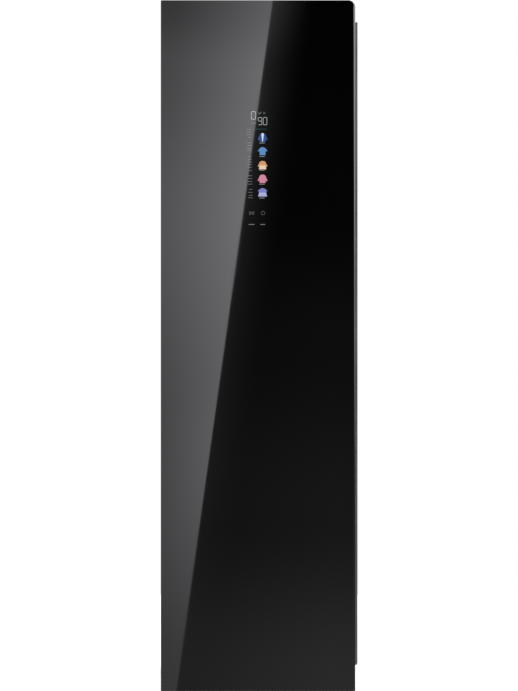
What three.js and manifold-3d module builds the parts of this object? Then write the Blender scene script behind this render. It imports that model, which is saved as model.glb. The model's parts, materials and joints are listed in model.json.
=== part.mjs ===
// A clothes care steam cabinet: a tall case with a garment chamber, two water tanks and a heat-pump machine
// room, behind one full-height black glass door that is hinged on its left.
// Millimetres, +Z up, the door faces -Y, and the floor is z = 0 below the middle of the cabinet.
import * as THREE from "three";
import { mergeVertices } from "three/addons/utils/BufferGeometryUtils.js";
import Module from "manifold-3d";

const wasm = await Module();
wasm.setup();

// Driving dimensions
const doorWidth = 516;
const doorHeight = 1836.5;
const doorThickness = 42;
const caseDepth = 545;
const floorGap = 13.5; // from the floor to the door's lower edge
const doorGap = 6; // from the door's back to the front frame, filled by the gasket
const caseLift = 22; // from the floor to the underside of the case

// Clearances and shared sizes
const fitGap = 0.3; // between two pieces that seat on each other
const overrun = 2; // how far a cutting tool runs past the face that it opens
const mergeTolerance = 0.001;
const sheet = 1; // steel sheet of the outer panels
const moulding = 2.5; // wall of the plastic mouldings

// Places that follow from the driving dimensions
const halfDoor = doorWidth / 2;
const frontY = -(doorThickness + doorGap + caseDepth) / 2;
const doorBackY = frontY + doorThickness;
const caseFrontY = doorBackY + doorGap;
const rearY = caseFrontY + caseDepth;
const doorTopZ = floorGap + doorHeight;

// Door
const glassThickness = 4;
const glassLip = 0.8; // past the door's width on the opening side
const glassCornerRadius = 17; // upper corner on the opening side
const glassHingeCornerRadius = 3; // upper corner on the hinge side
const glassFootRadius = 1.5;
const glassBevelWidth = 4.2; // ground bevel along the opening side
const glassBevelDepth = 3;
const doorFrameInset = 1; // the frame stands this far inside the glass at the sides
const doorStile = 18;
const doorRail = 32;
const linerSkin = 2.5;
const linerInset = 2;
const plateauInsetHinge = 50;
const plateauInsetOpening = 34;
const plateauInsetEnds = 42;
const plateauRise = 4;
const plateauRadius = 24;
const linerRibPitch = 200;
const linerRibWidth = 8;
const linerRibDepth = 1.6;
const gasketInset = 12;
const gasketWidth = 13;
const gasketRadius = 14;
const gasketLip = 3;

// Grip on the opening side of the door
const gripProud = 7;
const gripLength = 1709;
const gripFromTop = 58;
const gripSetBack = 5; // from the face of the glass to the front of the grip
const gripDepth = 30;
const gripWeb = 3;
const gripLip = 3;
const gripLipRoot = 1.2;
const gripFootRadius = 5;

// Display behind the glass
const displayWidth = 84;
const displayHeight = 336;
const displayDepth = 9;
const displayCentreX = -3.5;
const displayFromTop = 443; // from the top of the door to the display's middle
const displayRim = 3;
const displayRecess = 1;

// Hinges
const pivotFromSide = 12;
const pivotFromDoorBack = 20;
const pinDiameter = 8;
const pinHeadDiameter = 13;
const pinHeadHeight = 2.2;
const pinReach = 20; // of the pin into the door's rail
const hingePlateThickness = 4;
const hingePlateNose = 9;
const hingePlateWidth = 62;
const hingePlateReach = 58; // of the plate over the case
const hingePlateFillet = 8;
const washerThickness = 0.9;
const bushDiameter = 15;
const bushFlangeDiameter = 20;

// Case
const frameThickness = 12;
const frontTopDrop = 8.3; // from the top of the cabinet to the top of the front frame
const frameStile = 36;
const chamberRadius = 24;
const sideFlange = 18;
const rearFlange = 14;
const topFlange = 6.5;
const baseWallHeight = 30;
const baseFloor = 2;
const baseRibHeight = 10;
const baseRibWidth = 3;
const louvreRows = 8;
const louvreColumns = 3;
const louvrePitch = 27;
const louvreLength = 100;
const louvreGap = 16; // between two columns of louvres
const louvreSlot = 7;
const louvreFromBase = 56;
const rearEmboss = 3;
const rearEmbossInset = 40;
const rearEmbossFloor = 520; // from the floor to the lower dish
const rearEmbossRadius = 20;

// Feet
const footPadDiameter = 58;
const footPadHeight = 12;
const footPadEdge = 2;
const footStemDiameter = 16;
const footStemReach = 26; // of the stem above the underside of the case
const footFromSide = 48;
const footFromFront = 112;
const footFromRear = 52;
const footBossDiameter = 30;

// Garment chamber
const chamberFloorZ = 345;
const chamberHeadroom = 78; // from the top of the cabinet to the top of the chamber's opening
const chamberLap = 8; // the liner's inner wall stands this far outside the frame's opening
const chamberRearSpace = 47; // from the chamber's back to the rear of the cabinet
const shelfRailZ = 560;
const shelfRailHeight = 8;
const shelfRailDepth = 24;
const shelfRailSetBack = 30;
const backRibCount = 4;
const backRibWidth = 10;
const backRibRise = 3;
const backRibMargin = 120;

// Tanks and their bay
const bayFloorZ = 60;
const bayHeight = 205;
const bayLap = 4;
const bayDivider = 6;
const tankFrontSetBack = 10;
const tankGap = 6; // round a tank in its bay
const bayRadius = 5;
const tankRadius = 14;
const tankLidThickness = 4;
const tankLidStep = 3;
const tankHeadroom = 6;
const tankRearGap = 12;
const pullWidth = 96;
const pullHeight = 34;
const pullDepth = 22;
const pullFromTop = 34;
const pullLip = 5;
const capDiameter = 44;
const capRise = 2;
const capGroove = 1.5;
const capFromFront = 60;

// Lint filter in its slot below the chamber's front
const filterSideGap = 10; // to the outside of the heat exchangers' housing
const filterRearGap = 76; // to the front of that housing
const filterHeight = 20;
const filterZ = 292;
const filterRim = 10;
const filterGap = 2;
const filterSetBack = 1;
const filterLedge = 6;
const filterBars = 3;
const filterBarWidth = 3;
const netHeight = 7; // of the net's underside above the filter's own
const netThickness = 1.2;
const netPitch = 38;
const netStrand = 2.4;
const filterPullWidth = 70;
const filterPullDepth = 8;
const filterPullLip = 3;

// Air path
const inletLength = 130;
const inletSideGap = 8; // inside the filter's width
const inletFromFront = 34;
const grilleRim = 9;
const grilleThickness = 3;
const grilleBarPitch = 14;
const grilleBar = 5;
const exchangerFromSide = 140; // from the side of the cabinet to the exchangers' housing
const exchangerFrontGap = 10; // from the bay's back to the exchanger housing
const exchangerDepth = 132;
const exchangerBottomZ = 68;
const coilDepth = 44;
const coilGap = 12;
const coilMargin = 8;
const finCount = 18;
const finShare = 0.42; // of the fin pitch that is metal
const coilSpine = 3;
const coilHeight = 176;
const headerDiameter = 12;
const blowerWidth = 80;
const blowerCentreX = -26;
const blowerCentreZ = 190;
const impellerSideGap = 48; // from the housing's side to the impeller's, if it were centred
const impellerWidth = 54;
const impellerPlate = 3;
const impellerRing = 5;
const bladeCount = 18;
const bladeThickness = 2.4;
const bladeLength = 22;
const bladeSweep = 0.5; // radians from a blade's root to its tip
const hubDiameter = 22;
const scrollClearance = 8;
const scrollGrowth = 34;
const inletDiameter = 104;
const motorDiameter = 72;
const motorLength = 30;
const motorRearGap = 35; // from the motor's end to the rear of the cabinet
const shaftDiameter = 6;
const shaftHoleDiameter = 18;

// Machine room
const compressorDiameter = 108;
const compressorHeight = 186;
const compressorFromSide = 72;
const compressorFromRear = 92;
const compressorPlate = 4;
const compressorFootHeight = 28;
const compressorFootDiameter = 16;
const compressorSeam = 3;
const compressorSeamShare = 0.62; // of its height
const compressorBaseShare = 0.82; // of its radius, and so on for the next three
const compressorCurveShare = 0.33;
const compressorShoulderShare = 0.97;
const compressorCrownShare = 0.72;
const compressorCrownRise = 9;
const trayWall = 2;
const trayRim = 14;
const pipeDiameter = 9;
const suctionZ = 130;
const dischargeZ = 196;
const generatorWidth = 84;
const generatorDepth = 104;
const generatorHeight = 96;
const generatorFromSide = 86;
const generatorFromBay = 34;
const generatorStand = 20;
const generatorStandInset = 21;
const generatorRibs = 5;
const generatorRib = 3;
const generatorNeck = 12;
const hoseDiameter = 16;
const hoseBore = 11;
const hoseRibs = 6;
const hoseRib = 2;
const nozzleLength = 64;
const nozzleWidth = 46;
const nozzleHeight = 12;
const nozzleRadius = 12;
const nozzleSlots = 4;
const nozzleSlot = 4;
const pumpDiameter = 42;
const pumpLength = 62;
const pumpStand = 6;
const pumpHeadDiameter = 30;
const pumpHeadLength = 18;
const pumpSpoutDiameter = 10;
const pumpSpout = 8;
const cradleShare = 0.6; // of the pump's width and length
const supplyPumpFromSide = 98;
const supplyPumpFromRear = 92;
const drainPumpFromSide = 68;
const drainPumpFromBay = 56;
const controlWidth = 190;
const controlDepth = 110;
const controlHeight = 44;
const controlFromBack = 26;
const controlLip = 5;
const glandDiameter = 18;
const glandReach = 6; // inside the rear panel; nothing stands out behind it
const glandFromSide = 58;
const glandZ = 96;
const glandFlange = 26;
const glandBore = 8;

// Moving hanger rail and its drive
const railFromCeiling = 82; // from the top of the chamber's opening to the top of the rail
const railSideGap = 57; // from the rail's end to the side of the chamber's opening
const railHeight = 26;
const railThickness = 14;
const railStroke = 20; // each way from the middle
const railCornerRadius = 5;
const railNotches = 6;
const railNotchRadius = 5;
const railNotchPitch = 40;
const stemDiameter = 12;
const stemInset = 20; // from the rail's end to a stem
const stemSlotGap = 4;
const rodDiameter = 8;
const rodSpacing = 68;
const rodLift = 9; // from the chamber's ceiling to the rods' centre line
const lugLength = 24;
const lugWidth = 16;
const lugHeight = 14;
const carriageThickness = 5;
const carriageWidth = 92;
const carriageMargin = 10;
const carriageWindowLength = 55;
const carriageWindowWidth = 30;
const crankRadius = 28;
const crankPinDiameter = 8;
const crankPinGap = 1.4;
const crankDiscDiameter = 72;
const crankDiscThickness = 5;
const crankRise = 6;
const driveFrameSheet = 3;
const driveFrameWidth = 70;
const rodBracket = 14;
const driveMotorDiameter = 46;
const driveMotorHeight = 22;
const ceilingCoverSideGap = 40;
const ceilingCoverDepth = 300;
const ceilingCoverDrop = 10;
const ceilingCoverRadius = 20;
const lensLength = 150;
const lensWidth = 26;
const lensFromEdge = 24;
const lensThickness = 4;
const lensProud = 1;
const lensRadius = 2;

// Wire shelf
const wireDiameter = 5;
const shelfSetBack = 36; // from the front frame's back face
const shelfSideGap = 16; // to the chamber's wall
const shelfRearGap = 47;
const shelfWire = 4;
const shelfWires = 11;
const shelfCrossBars = 2;

// Finishes
const finish = (color, roughness, metalness) =>
  new THREE.MeshStandardMaterial({ color, roughness, metalness });
const blackGlass = finish(0x08080a, 0.05, 0);
const anodised = finish(0x6c6c6f, 0.38, 0.9);
const blackPlastic = finish(0x141416, 0.45, 0);
const greyPlastic = finish(0x55585c, 0.5, 0);
const whitePlastic = finish(0xe3e5e6, 0.4, 0);
const clearPlastic = finish(0xb4c4cf, 0.1, 0);
const casePaint = finish(0x2b2c2f, 0.4, 0.5);
const zincSteel = finish(0x9aa0a4, 0.42, 0.9);
const steelRod = finish(0xb9bcc0, 0.22, 1);
const rubber = finish(0x1b1b1c, 0.85, 0);
const foam = finish(0xdedbd2, 0.9, 0);
const copper = finish(0xb56a3c, 0.35, 1);
const aluminiumFin = finish(0xc3c7ca, 0.45, 0.8);
const compressorPaint = finish(0x17181a, 0.5, 0.3);
const boardPlastic = finish(0xc9cbc8, 0.5, 0);
const framePlastic = finish(0x2b2c2f, 0.45, 0);
const footSteel = finish(0x3a3b3d, 0.4, 0.8);

// Solids and shapes
function toSolid(geometry) {
  geometry.deleteAttribute("normal");
  geometry.deleteAttribute("uv");
  const merged = mergeVertices(geometry, mergeTolerance);
  const vertProperties = merged.attributes.position.array;
  const triVerts = new Uint32Array(merged.index.array);
  return new wasm.Manifold(new wasm.Mesh({ numProp: 3, vertProperties, triVerts }));
}

function toGeometry(solid) {
  const { vertProperties, triVerts } = solid.getMesh();
  const geometry = new THREE.BufferGeometry();
  geometry.setAttribute("position", new THREE.BufferAttribute(vertProperties, 3));
  geometry.setIndex(new THREE.BufferAttribute(triVerts, 1));
  geometry.computeVertexNormals();
  return geometry;
}

const join = (first, ...others) => others.reduce((whole, other) => whole.add(other), first);
const cut = (first, ...tools) => tools.reduce((whole, tool) => whole.subtract(tool), first);
const around = (centre, size) => [centre - size / 2, centre + size / 2];
const grown = ([low, high], by) => [low - by, high + by];
const ordered = (a, b) => [Math.min(a, b), Math.max(a, b)];
const spread = (count, pitch) =>
  Array.from({ length: count }, (_, i) => (i - (count - 1) / 2) * pitch);

function box([x0, x1], [y0, y1], [z0, z1]) {
  const geometry = new THREE.BoxGeometry(x1 - x0, y1 - y0, z1 - z0);
  return toSolid(geometry.translate((x0 + x1) / 2, (y0 + y1) / 2, (z0 + z1) / 2));
}

// A rectangle whose corners are rounded; radii run from the lower left corner, counter-clockwise.
function roundedRect([x0, x1], [y0, y1], radii) {
  const [r0, r1, r2, r3] = Array.isArray(radii) ? radii : [radii, radii, radii, radii];
  const shape = new THREE.Shape();
  shape.moveTo(x0 + r0, y0).lineTo(x1 - r1, y0);
  if (r1) shape.absarc(x1 - r1, y0 + r1, r1, -Math.PI / 2, 0);
  shape.lineTo(x1, y1 - r2);
  if (r2) shape.absarc(x1 - r2, y1 - r2, r2, 0, Math.PI / 2);
  shape.lineTo(x0 + r3, y1);
  if (r3) shape.absarc(x0 + r3, y1 - r3, r3, Math.PI / 2, Math.PI);
  shape.lineTo(x0, y0 + r0);
  if (r0) shape.absarc(x0 + r0, y0 + r0, r0, Math.PI, Math.PI * 1.5);
  return shape;
}

const outline = (points) => new THREE.Shape(points.map(([x, y]) => new THREE.Vector2(x, y)));

function circle(x, y, diameter) {
  return new THREE.Shape().absarc(x, y, diameter / 2, 0, Math.PI * 2);
}

function extruded(shape, length, curveSegments) {
  return new THREE.ExtrudeGeometry(shape, { depth: length, bevelEnabled: false, curveSegments });
}

// A shape drawn as (x, z), between two places along y.
const upright = (shape, [y0, y1], curveSegments = 3) =>
  toSolid(extruded(shape, y1 - y0, curveSegments).rotateX(Math.PI / 2).translate(0, y1, 0));

// A shape drawn as (x, y), between two heights.
const lying = (shape, [z0, z1], curveSegments = 3) =>
  toSolid(extruded(shape, z1 - z0, curveSegments).translate(0, 0, z0));

// A shape drawn as (y, z), between two places along x.
const sideways = new THREE.Matrix4().makeBasis(
  new THREE.Vector3(0, 1, 0), new THREE.Vector3(0, 0, 1), new THREE.Vector3(1, 0, 0));
const across = (shape, [x0, x1], curveSegments = 3) =>
  toSolid(extruded(shape, x1 - x0, curveSegments).applyMatrix4(sideways).translate(x0, 0, 0));

const roundAlongX = (y, z, diameter, span, segments = 6) =>
  across(circle(y, z, diameter), span, segments);
const roundAlongY = (x, z, diameter, span, segments = 6) =>
  upright(circle(x, z, diameter), span, segments);
const roundAlongZ = (x, y, diameter, span, segments = 6) =>
  lying(circle(x, y, diameter), span, segments);

// A profile of (radius, height) turned about an upright axis.
function turnedPiece(profile, x, y, segments) {
  const points = profile.map(([radius, height]) => new THREE.Vector2(radius, height));
  const geometry = new THREE.LatheGeometry(points, segments);
  return toSolid(geometry.rotateX(Math.PI / 2).translate(x, y, 0));
}

// A round bar or tube that follows a path of points with smooth bends.
function bent(points, diameter, steps, sides) {
  const path = new THREE.CatmullRomCurve3(points.map((p) => new THREE.Vector3(...p)), false, "centripetal");
  const section = new THREE.Shape();
  section.absarc(0, 0, diameter / 2, 0, Math.PI * 2);
  const options = { steps, bevelEnabled: false, extrudePath: path, curveSegments: sides };
  return toSolid(new THREE.ExtrudeGeometry(section, options));
}

const cabinet = new THREE.Group();
cabinet.name = "steam_cabinet";

function assembly(name) {
  const group = new THREE.Group();
  group.name = name;
  cabinet.add(group);
  return group;
}

function piece(group, name, material, solid) {
  const mesh = new THREE.Mesh(toGeometry(solid), material);
  mesh.name = name;
  group.add(mesh);
}

// Door: glass, frame, foam core, liner, gasket, grip, display and hinge bushes
const frontTopZ = doorTopZ - frontTopDrop;
const upperPlateZ = [frontTopZ + fitGap, frontTopZ + fitGap + hingePlateThickness];
const lowerPlateZ = [caseLift - fitGap - hingePlateThickness, caseLift - fitGap];
const washerRoom = washerThickness + 2 * fitGap;
const doorFrameZ = [lowerPlateZ[1] + washerRoom, upperPlateZ[0] - washerRoom];
const doorFrameX = grown([-halfDoor, halfDoor], -doorFrameInset);
const pivotX = -halfDoor + pivotFromSide;
const pivotY = doorBackY - pivotFromDoorBack;
const linerY = [doorBackY - linerSkin, doorBackY];
const frameY = [frontY + glassThickness + fitGap, linerY[0] - fitGap];
const displayX = around(displayCentreX, displayWidth);
const displayZ = around(doorTopZ - displayFromTop, displayHeight);

function doorGlass() {
  const radii = [glassFootRadius, glassFootRadius, glassCornerRadius, glassHingeCornerRadius];
  const edgeX = halfDoor + glassLip;
  const plate = roundedRect([-halfDoor, edgeX], [floorGap, doorTopZ], radii);
  const bevel = outline([
    [edgeX - glassBevelWidth, frontY],
    [edgeX - glassBevelWidth, frontY - overrun],
    [edgeX + overrun, frontY - overrun],
    [edgeX + overrun, frontY + glassBevelDepth],
    [edgeX, frontY + glassBevelDepth],
  ]);
  const ends = grown([floorGap, doorTopZ], overrun);
  return cut(upright(plate, [frontY, frontY + glassThickness]), lying(bevel, ends));
}

function doorFrame() {
  const inside = [grown(doorFrameX, -doorStile), grown(doorFrameZ, -doorRail)];
  const ring = cut(box(doorFrameX, frameY, doorFrameZ), box(inside[0], grown(frameY, overrun), inside[1]));
  const bushHole = (z) => roundAlongZ(pivotX, pivotY, bushDiameter + 2 * fitGap, z);
  const upper = bushHole([doorFrameZ[1] - pinReach - fitGap, doorFrameZ[1] + overrun]);
  const lower = bushHole([doorFrameZ[0] - overrun, doorFrameZ[0] + pinReach + fitGap]);
  return cut(ring, upper, lower);
}

function doorCore() {
  const x = grown(doorFrameX, -doorStile - fitGap);
  const z = grown(doorFrameZ, -doorRail - fitGap);
  const pocketY = [frontY, frameY[0] + displayDepth + displayRecess];
  const pocket = box(grown(displayX, fitGap), pocketY, grown(displayZ, fitGap));
  return cut(box(x, frameY, z), pocket);
}

function doorLiner() {
  const z = grown(doorFrameZ, -linerInset);
  const x = grown([-halfDoor, halfDoor], -linerInset);
  const raisedX = [-halfDoor + plateauInsetHinge, halfDoor - plateauInsetOpening];
  const raisedZ = grown(z, -plateauInsetEnds);
  const rise = [linerY[1] - linerSkin, linerY[1] + plateauRise];
  const skin = upright(roundedRect(x, z, linerInset), linerY);
  const raised = upright(roundedRect(raisedX, raisedZ, plateauRadius), rise);
  const behind = [grown(raisedX, -linerSkin), grown(raisedZ, -linerSkin)];
  const hollowY = [linerY[0] - overrun, rise[1] - linerSkin];
  const hollow = upright(roundedRect(...behind, plateauRadius - linerSkin), hollowY);
  const groove = (height) =>
    box(grown(raisedX, -plateauRadius), [rise[1] - linerRibDepth, rise[1] + overrun],
      around(height, linerRibWidth));
  const count = Math.floor((raisedZ[1] - raisedZ[0]) / linerRibPitch);
  const middle = (raisedZ[0] + raisedZ[1]) / 2;
  const grooves = spread(count, linerRibPitch).map((step) => groove(middle + step));
  return cut(join(skin, raised), hollow, ...grooves);
}

function doorGasket() {
  const x = grown([-halfDoor, halfDoor], -gasketInset);
  const z = grown(doorFrameZ, -gasketInset);
  const y = [doorBackY + fitGap, caseFrontY - fitGap];
  const ring = (inset, span, radius) =>
    upright(roundedRect(grown(x, -inset), grown(z, -inset), radius), span);
  const body = cut(ring(0, y, gasketRadius), ring(gasketWidth, grown(y, overrun), gasketRadius - gasketLip));
  const grooveY = [(y[0] + y[1]) / 2, y[1] + overrun];
  const grooveFloor = cut(
    ring(gasketLip, grooveY, gasketRadius - gasketLip),
    ring(gasketWidth - gasketLip, grooveY, gasketRadius - gasketLip));
  return cut(body, grooveFloor);
}

function gripProfile() {
  const x0 = doorFrameX[1] + fitGap;
  const x1 = halfDoor + gripProud;
  const y0 = frontY + gripSetBack;
  const tip = new THREE.Shape();
  tip.moveTo(x0, y0).lineTo(x1 - gripLipRoot, y0);
  tip.quadraticCurveTo(x1, y0, x1, y0 + gripLipRoot);
  tip.lineTo(x1, y0 + gripLip + gripLipRoot);
  tip.lineTo(x1 - gripLipRoot, y0 + gripLip + gripLipRoot);
  tip.quadraticCurveTo(x0 + gripWeb, y0 + gripLip, x0 + gripWeb, y0 + gripLip + gripLipRoot * 2);
  tip.lineTo(x0 + gripWeb, y0 + gripDepth);
  tip.lineTo(x0, y0 + gripDepth);
  const top = doorTopZ - gripFromTop;
  const z = [top - gripLength, top];
  const bar = lying(tip, z, 4);
  const endShape = roundedRect([x0 - overrun, x1], z, [0, gripFootRadius, 0, 0]);
  return bar.intersect(upright(endShape, [frontY - overrun, doorBackY + overrun]));
}

function displayModule() {
  const y = [frameY[0], frameY[0] + displayDepth];
  const body = box(displayX, y, displayZ);
  const window = box(grown(displayX, -displayRim), [y[0] - overrun, y[0] + displayRecess],
    grown(displayZ, -displayRim));
  return cut(body, window);
}

// A flanged bush; sign is +1 for the upper rail and -1 for the lower one.
function hingeBush(faceZ, sign) {
  const span = (a, b) => ordered(faceZ + a * sign, faceZ + b * sign);
  const sleeve = roundAlongZ(pivotX, pivotY, bushDiameter, span(-pinReach, fitGap + washerThickness));
  const flange = roundAlongZ(pivotX, pivotY, bushFlangeDiameter, span(fitGap, fitGap + washerThickness));
  const bore = roundAlongZ(pivotX, pivotY, pinDiameter + 2 * fitGap, span(-pinReach - overrun, pinReach));
  return cut(join(sleeve, flange), bore);
}

const door = assembly("door");
piece(door, "door_glass", blackGlass, doorGlass());
piece(door, "door_frame", blackPlastic, doorFrame());
piece(door, "door_core", foam, doorCore());
piece(door, "door_liner", whitePlastic, doorLiner());
piece(door, "door_gasket", rubber, doorGasket());
piece(door, "grip_profile", anodised, gripProfile());
piece(door, "display_module", blackPlastic, displayModule());
piece(door, "upper_hinge_bush", greyPlastic, hingeBush(doorFrameZ[1], 1));
piece(door, "lower_hinge_bush", greyPlastic, hingeBush(doorFrameZ[0], -1));

// Hinge plates and pins, fixed to the case
function hingePlate(z) {
  const left = pivotX - hingePlateNose;
  const back = caseFrontY + hingePlateReach;
  const shape = new THREE.Shape();
  shape.moveTo(left, back).lineTo(left, pivotY);
  shape.absarc(pivotX, pivotY, hingePlateNose, Math.PI, Math.PI * 2);
  shape.lineTo(pivotX + hingePlateNose, caseFrontY - doorGap / 2);
  shape.lineTo(left + hingePlateWidth - hingePlateFillet, caseFrontY + hingePlateFillet);
  shape.lineTo(left + hingePlateWidth, caseFrontY + 2 * hingePlateFillet);
  shape.lineTo(left + hingePlateWidth, back);
  const hole = roundAlongZ(pivotX, pivotY, pinDiameter + 2 * fitGap, grown(z, overrun));
  return cut(lying(shape, z, 10), hole);
}

function hingePin(plateZ, sign) {
  const outer = sign > 0 ? plateZ[1] : plateZ[0];
  const head = ordered(outer + sign * fitGap, outer + sign * (fitGap + pinHeadHeight));
  const reach = sign * (hingePlateThickness + washerRoom + pinReach - overrun);
  const shaft = ordered(outer + sign * (fitGap + overrun / 2), outer - reach);
  return join(
    roundAlongZ(pivotX, pivotY, pinHeadDiameter, head),
    roundAlongZ(pivotX, pivotY, pinDiameter, shaft));
}

const hinges = assembly("hinges");
piece(hinges, "upper_hinge_plate", zincSteel, hingePlate(upperPlateZ));
piece(hinges, "lower_hinge_plate", zincSteel, hingePlate(lowerPlateZ));
piece(hinges, "upper_hinge_pin", steelRod, hingePin(upperPlateZ, 1));
piece(hinges, "lower_hinge_pin", steelRod, hingePin(lowerPlateZ, -1));

// Case: front frame, sheet panels, top cover, base and feet
const halfOpening = halfDoor - frameStile;
const behindFrameY = caseFrontY + frameThickness + fitGap;
const exchangerHalfWidth = halfDoor - exchangerFromSide;
const impellerDiameter = 2 * (exchangerHalfWidth - impellerSideGap);
const filterWidth = 2 * (exchangerHalfWidth - filterSideGap);
const inletWidth = filterWidth - 2 * inletSideGap;
const compressorX = -halfDoor + compressorFromSide;
const generatorX = halfDoor - generatorFromSide;
const supplyPumpX = halfDoor - supplyPumpFromSide;
const drainPumpX = -halfDoor + drainPumpFromSide;
const glandX = halfDoor - glandFromSide;
const chamberCeilingZ = doorTopZ - chamberHeadroom;
const railZ = chamberCeilingZ - railFromCeiling;
const chamberX = [-halfOpening, halfOpening];
const chamberZ = [chamberFloorZ, chamberCeilingZ];
const bayZ = [bayFloorZ, bayFloorZ + bayHeight];
const caseZ = [caseLift, frontTopZ];
const panelY = [behindFrameY, rearY - sheet - fitGap];
const slotX = around(0, filterWidth + 2 * filterGap);
const slotZ = [filterZ - filterGap, filterZ + filterHeight + filterGap];

function frontFrame() {
  const y = [caseFrontY, caseFrontY + frameThickness];
  const through = grown(y, overrun);
  return cut(
    box([-halfDoor, halfDoor], y, caseZ),
    upright(roundedRect(chamberX, chamberZ, chamberRadius), through, 6),
    upright(roundedRect(chamberX, bayZ, bayRadius), through),
    box(slotX, through, slotZ));
}

function sidePanel(sign) {
  const outer = sign * halfDoor;
  const inner = outer - sign * sheet;
  const front = outer - sign * sideFlange;
  const rear = outer - sign * rearFlange;
  const shape = outline([
    [outer, panelY[0]], [front, panelY[0]], [front, panelY[0] + sheet], [inner, panelY[0] + sheet],
    [inner, panelY[1] - sheet], [rear, panelY[1] - sheet], [rear, panelY[1]], [outer, panelY[1]],
  ]);
  return lying(shape, caseZ);
}

function topCover() {
  const y = [caseFrontY, rearY];
  const x = [-halfDoor, halfDoor];
  const z = [frontTopZ + fitGap, doorTopZ];
  const inside = box(grown(x, -sheet), grown(y, -sheet), [z[0] - overrun, doorTopZ - sheet]);
  const left = pivotX - hingePlateNose;
  const notchX = grown([left, left + hingePlateWidth], sheet);
  const notchZ = [z[0] - overrun, z[0] + topFlange - sheet];
  const notch = box(notchX, [y[0] - overrun, y[0] + sheet + overrun], notchZ);
  return cut(box(x, y, z), inside, notch);
}

// The rear panel has a louvred foot and two dishes pressed inwards.
function rearPanel() {
  const y = [rearY - sheet, rearY];
  const panel = box([-halfDoor, halfDoor], y, caseZ);
  const slots = [];
  for (const middle of spread(louvreColumns, louvreLength + louvreGap))
    for (let row = 0; row < louvreRows; row++) {
      const z = caseLift + louvreFromBase + row * louvrePitch;
      slots.push(box(around(middle, louvreLength), grown(y, overrun), [z, z + louvreSlot]));
    }
  const dishX = grown([-halfDoor, halfDoor], -rearEmbossInset);
  const floorY = y[0] - rearEmboss;
  const hollow = (z, end) =>
    upright(roundedRect(grown(dishX, -sheet), grown(z, -sheet), rearEmbossRadius), [floorY + sheet, end]);
  const dish = (z) => cut(
    upright(roundedRect(dishX, z, rearEmbossRadius), [floorY, y[0] + sheet / 2]),
    hollow(z, y[0] + sheet + overrun));
  const top = caseZ[1] - rearEmbossInset;
  const height = (top - rearEmbossFloor - rearEmbossInset) / 2;
  const upperDish = [top - height, top];
  const lowerDish = [rearEmbossFloor, rearEmbossFloor + height];
  const cordHole = roundAlongY(glandX, glandZ, glandDiameter + 2 * fitGap, grown(y, overrun));
  const dished = [upperDish, lowerDish].reduce(
    (whole, z) => join(cut(whole, hollow(z, y[1] + overrun)), dish(z)), panel);
  return cut(dished, cordHole, ...slots);
}

const baseX = grown([-halfDoor, halfDoor], -sheet - fitGap);
const baseY = [panelY[0] + sheet + fitGap, panelY[1] - sheet - fitGap];
const baseFloorTop = caseLift + baseFloor;
const footX = [-halfDoor + footFromSide, halfDoor - footFromSide];
const footY = [caseFrontY + footFromFront, rearY - footFromRear];

function baseFrame() {
  const z = [caseLift, caseLift + baseWallHeight];
  const inside = [grown(baseX, -baseFloor), grown(baseY, -baseFloor)];
  const pan = cut(box(baseX, baseY, z), box(...inside, [baseFloorTop, z[1] + overrun]));
  const ribZ = [caseLift + baseFloor / 2, baseFloorTop + baseRibHeight];
  const bosses = footX.flatMap((x) => footY.map((y) =>
    roundAlongZ(x, y, footBossDiameter, [caseLift + baseFloor / 2, caseLift + footStemReach + overrun], 6)));
  const holes = footX.flatMap((x) => footY.map((y) =>
    roundAlongZ(x, y, footStemDiameter + 2 * fitGap, grown(z, overrun), 6)));
  const ribs = footY.map((y) => box(grown(baseX, -baseFloor / 2), around(y, baseRibWidth), ribZ));
  return cut(join(pan, ...bosses, ...ribs), ...holes);
}

function foot(x, y) {
  const profile = [
    [0, 0], [footPadDiameter / 2 - footPadEdge, 0], [footPadDiameter / 2, footPadEdge],
    [footPadDiameter / 2, footPadHeight - footPadEdge], [footPadDiameter / 2 - footPadEdge, footPadHeight],
    [footStemDiameter / 2, footPadHeight], [footStemDiameter / 2, caseLift + footStemReach],
    [0, caseLift + footStemReach],
  ];
  return turnedPiece(profile, x, y, 16);
}

const housing = assembly("case");
piece(housing, "front_frame", framePlastic, frontFrame());
piece(housing, "side_panel_left", casePaint, sidePanel(-1));
piece(housing, "side_panel_right", casePaint, sidePanel(1));
piece(housing, "top_cover", casePaint, topCover());
piece(housing, "rear_panel", zincSteel, rearPanel());
piece(housing, "base_frame", zincSteel, baseFrame());

const feet = assembly("feet");
for (const [side, x] of [["left", footX[0]], ["right", footX[1]]])
  for (const [end, y] of [["front", footY[0]], ["rear", footY[1]]])
    piece(feet, `foot_${end}_${side}`, footSteel, foot(x, y));

// Garment chamber: liner, grilles, steam nozzle, ceiling cover, light lens and wire shelf
const linerX = grown(chamberX, chamberLap);
const linerZ = [chamberFloorZ, chamberCeilingZ + chamberLap];
const chamberY = [behindFrameY, rearY - chamberRearSpace];
const chamberBackY = chamberY[1] - moulding;
const floorUnderZ = linerZ[0] - moulding;
const ceilingTopZ = linerZ[1] + moulding;
const railY = (chamberY[0] + chamberY[1]) / 2;
const railLength = 2 * (halfOpening - railSideGap);
const stemSpacing = railLength - 2 * stemInset;
const stems = [-stemSpacing / 2, stemSpacing / 2];
const stemSlotLength = stemDiameter + 2 * (railStroke + stemSlotGap);
const stemSlotWidth = stemDiameter + 2 * stemSlotGap;

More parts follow.
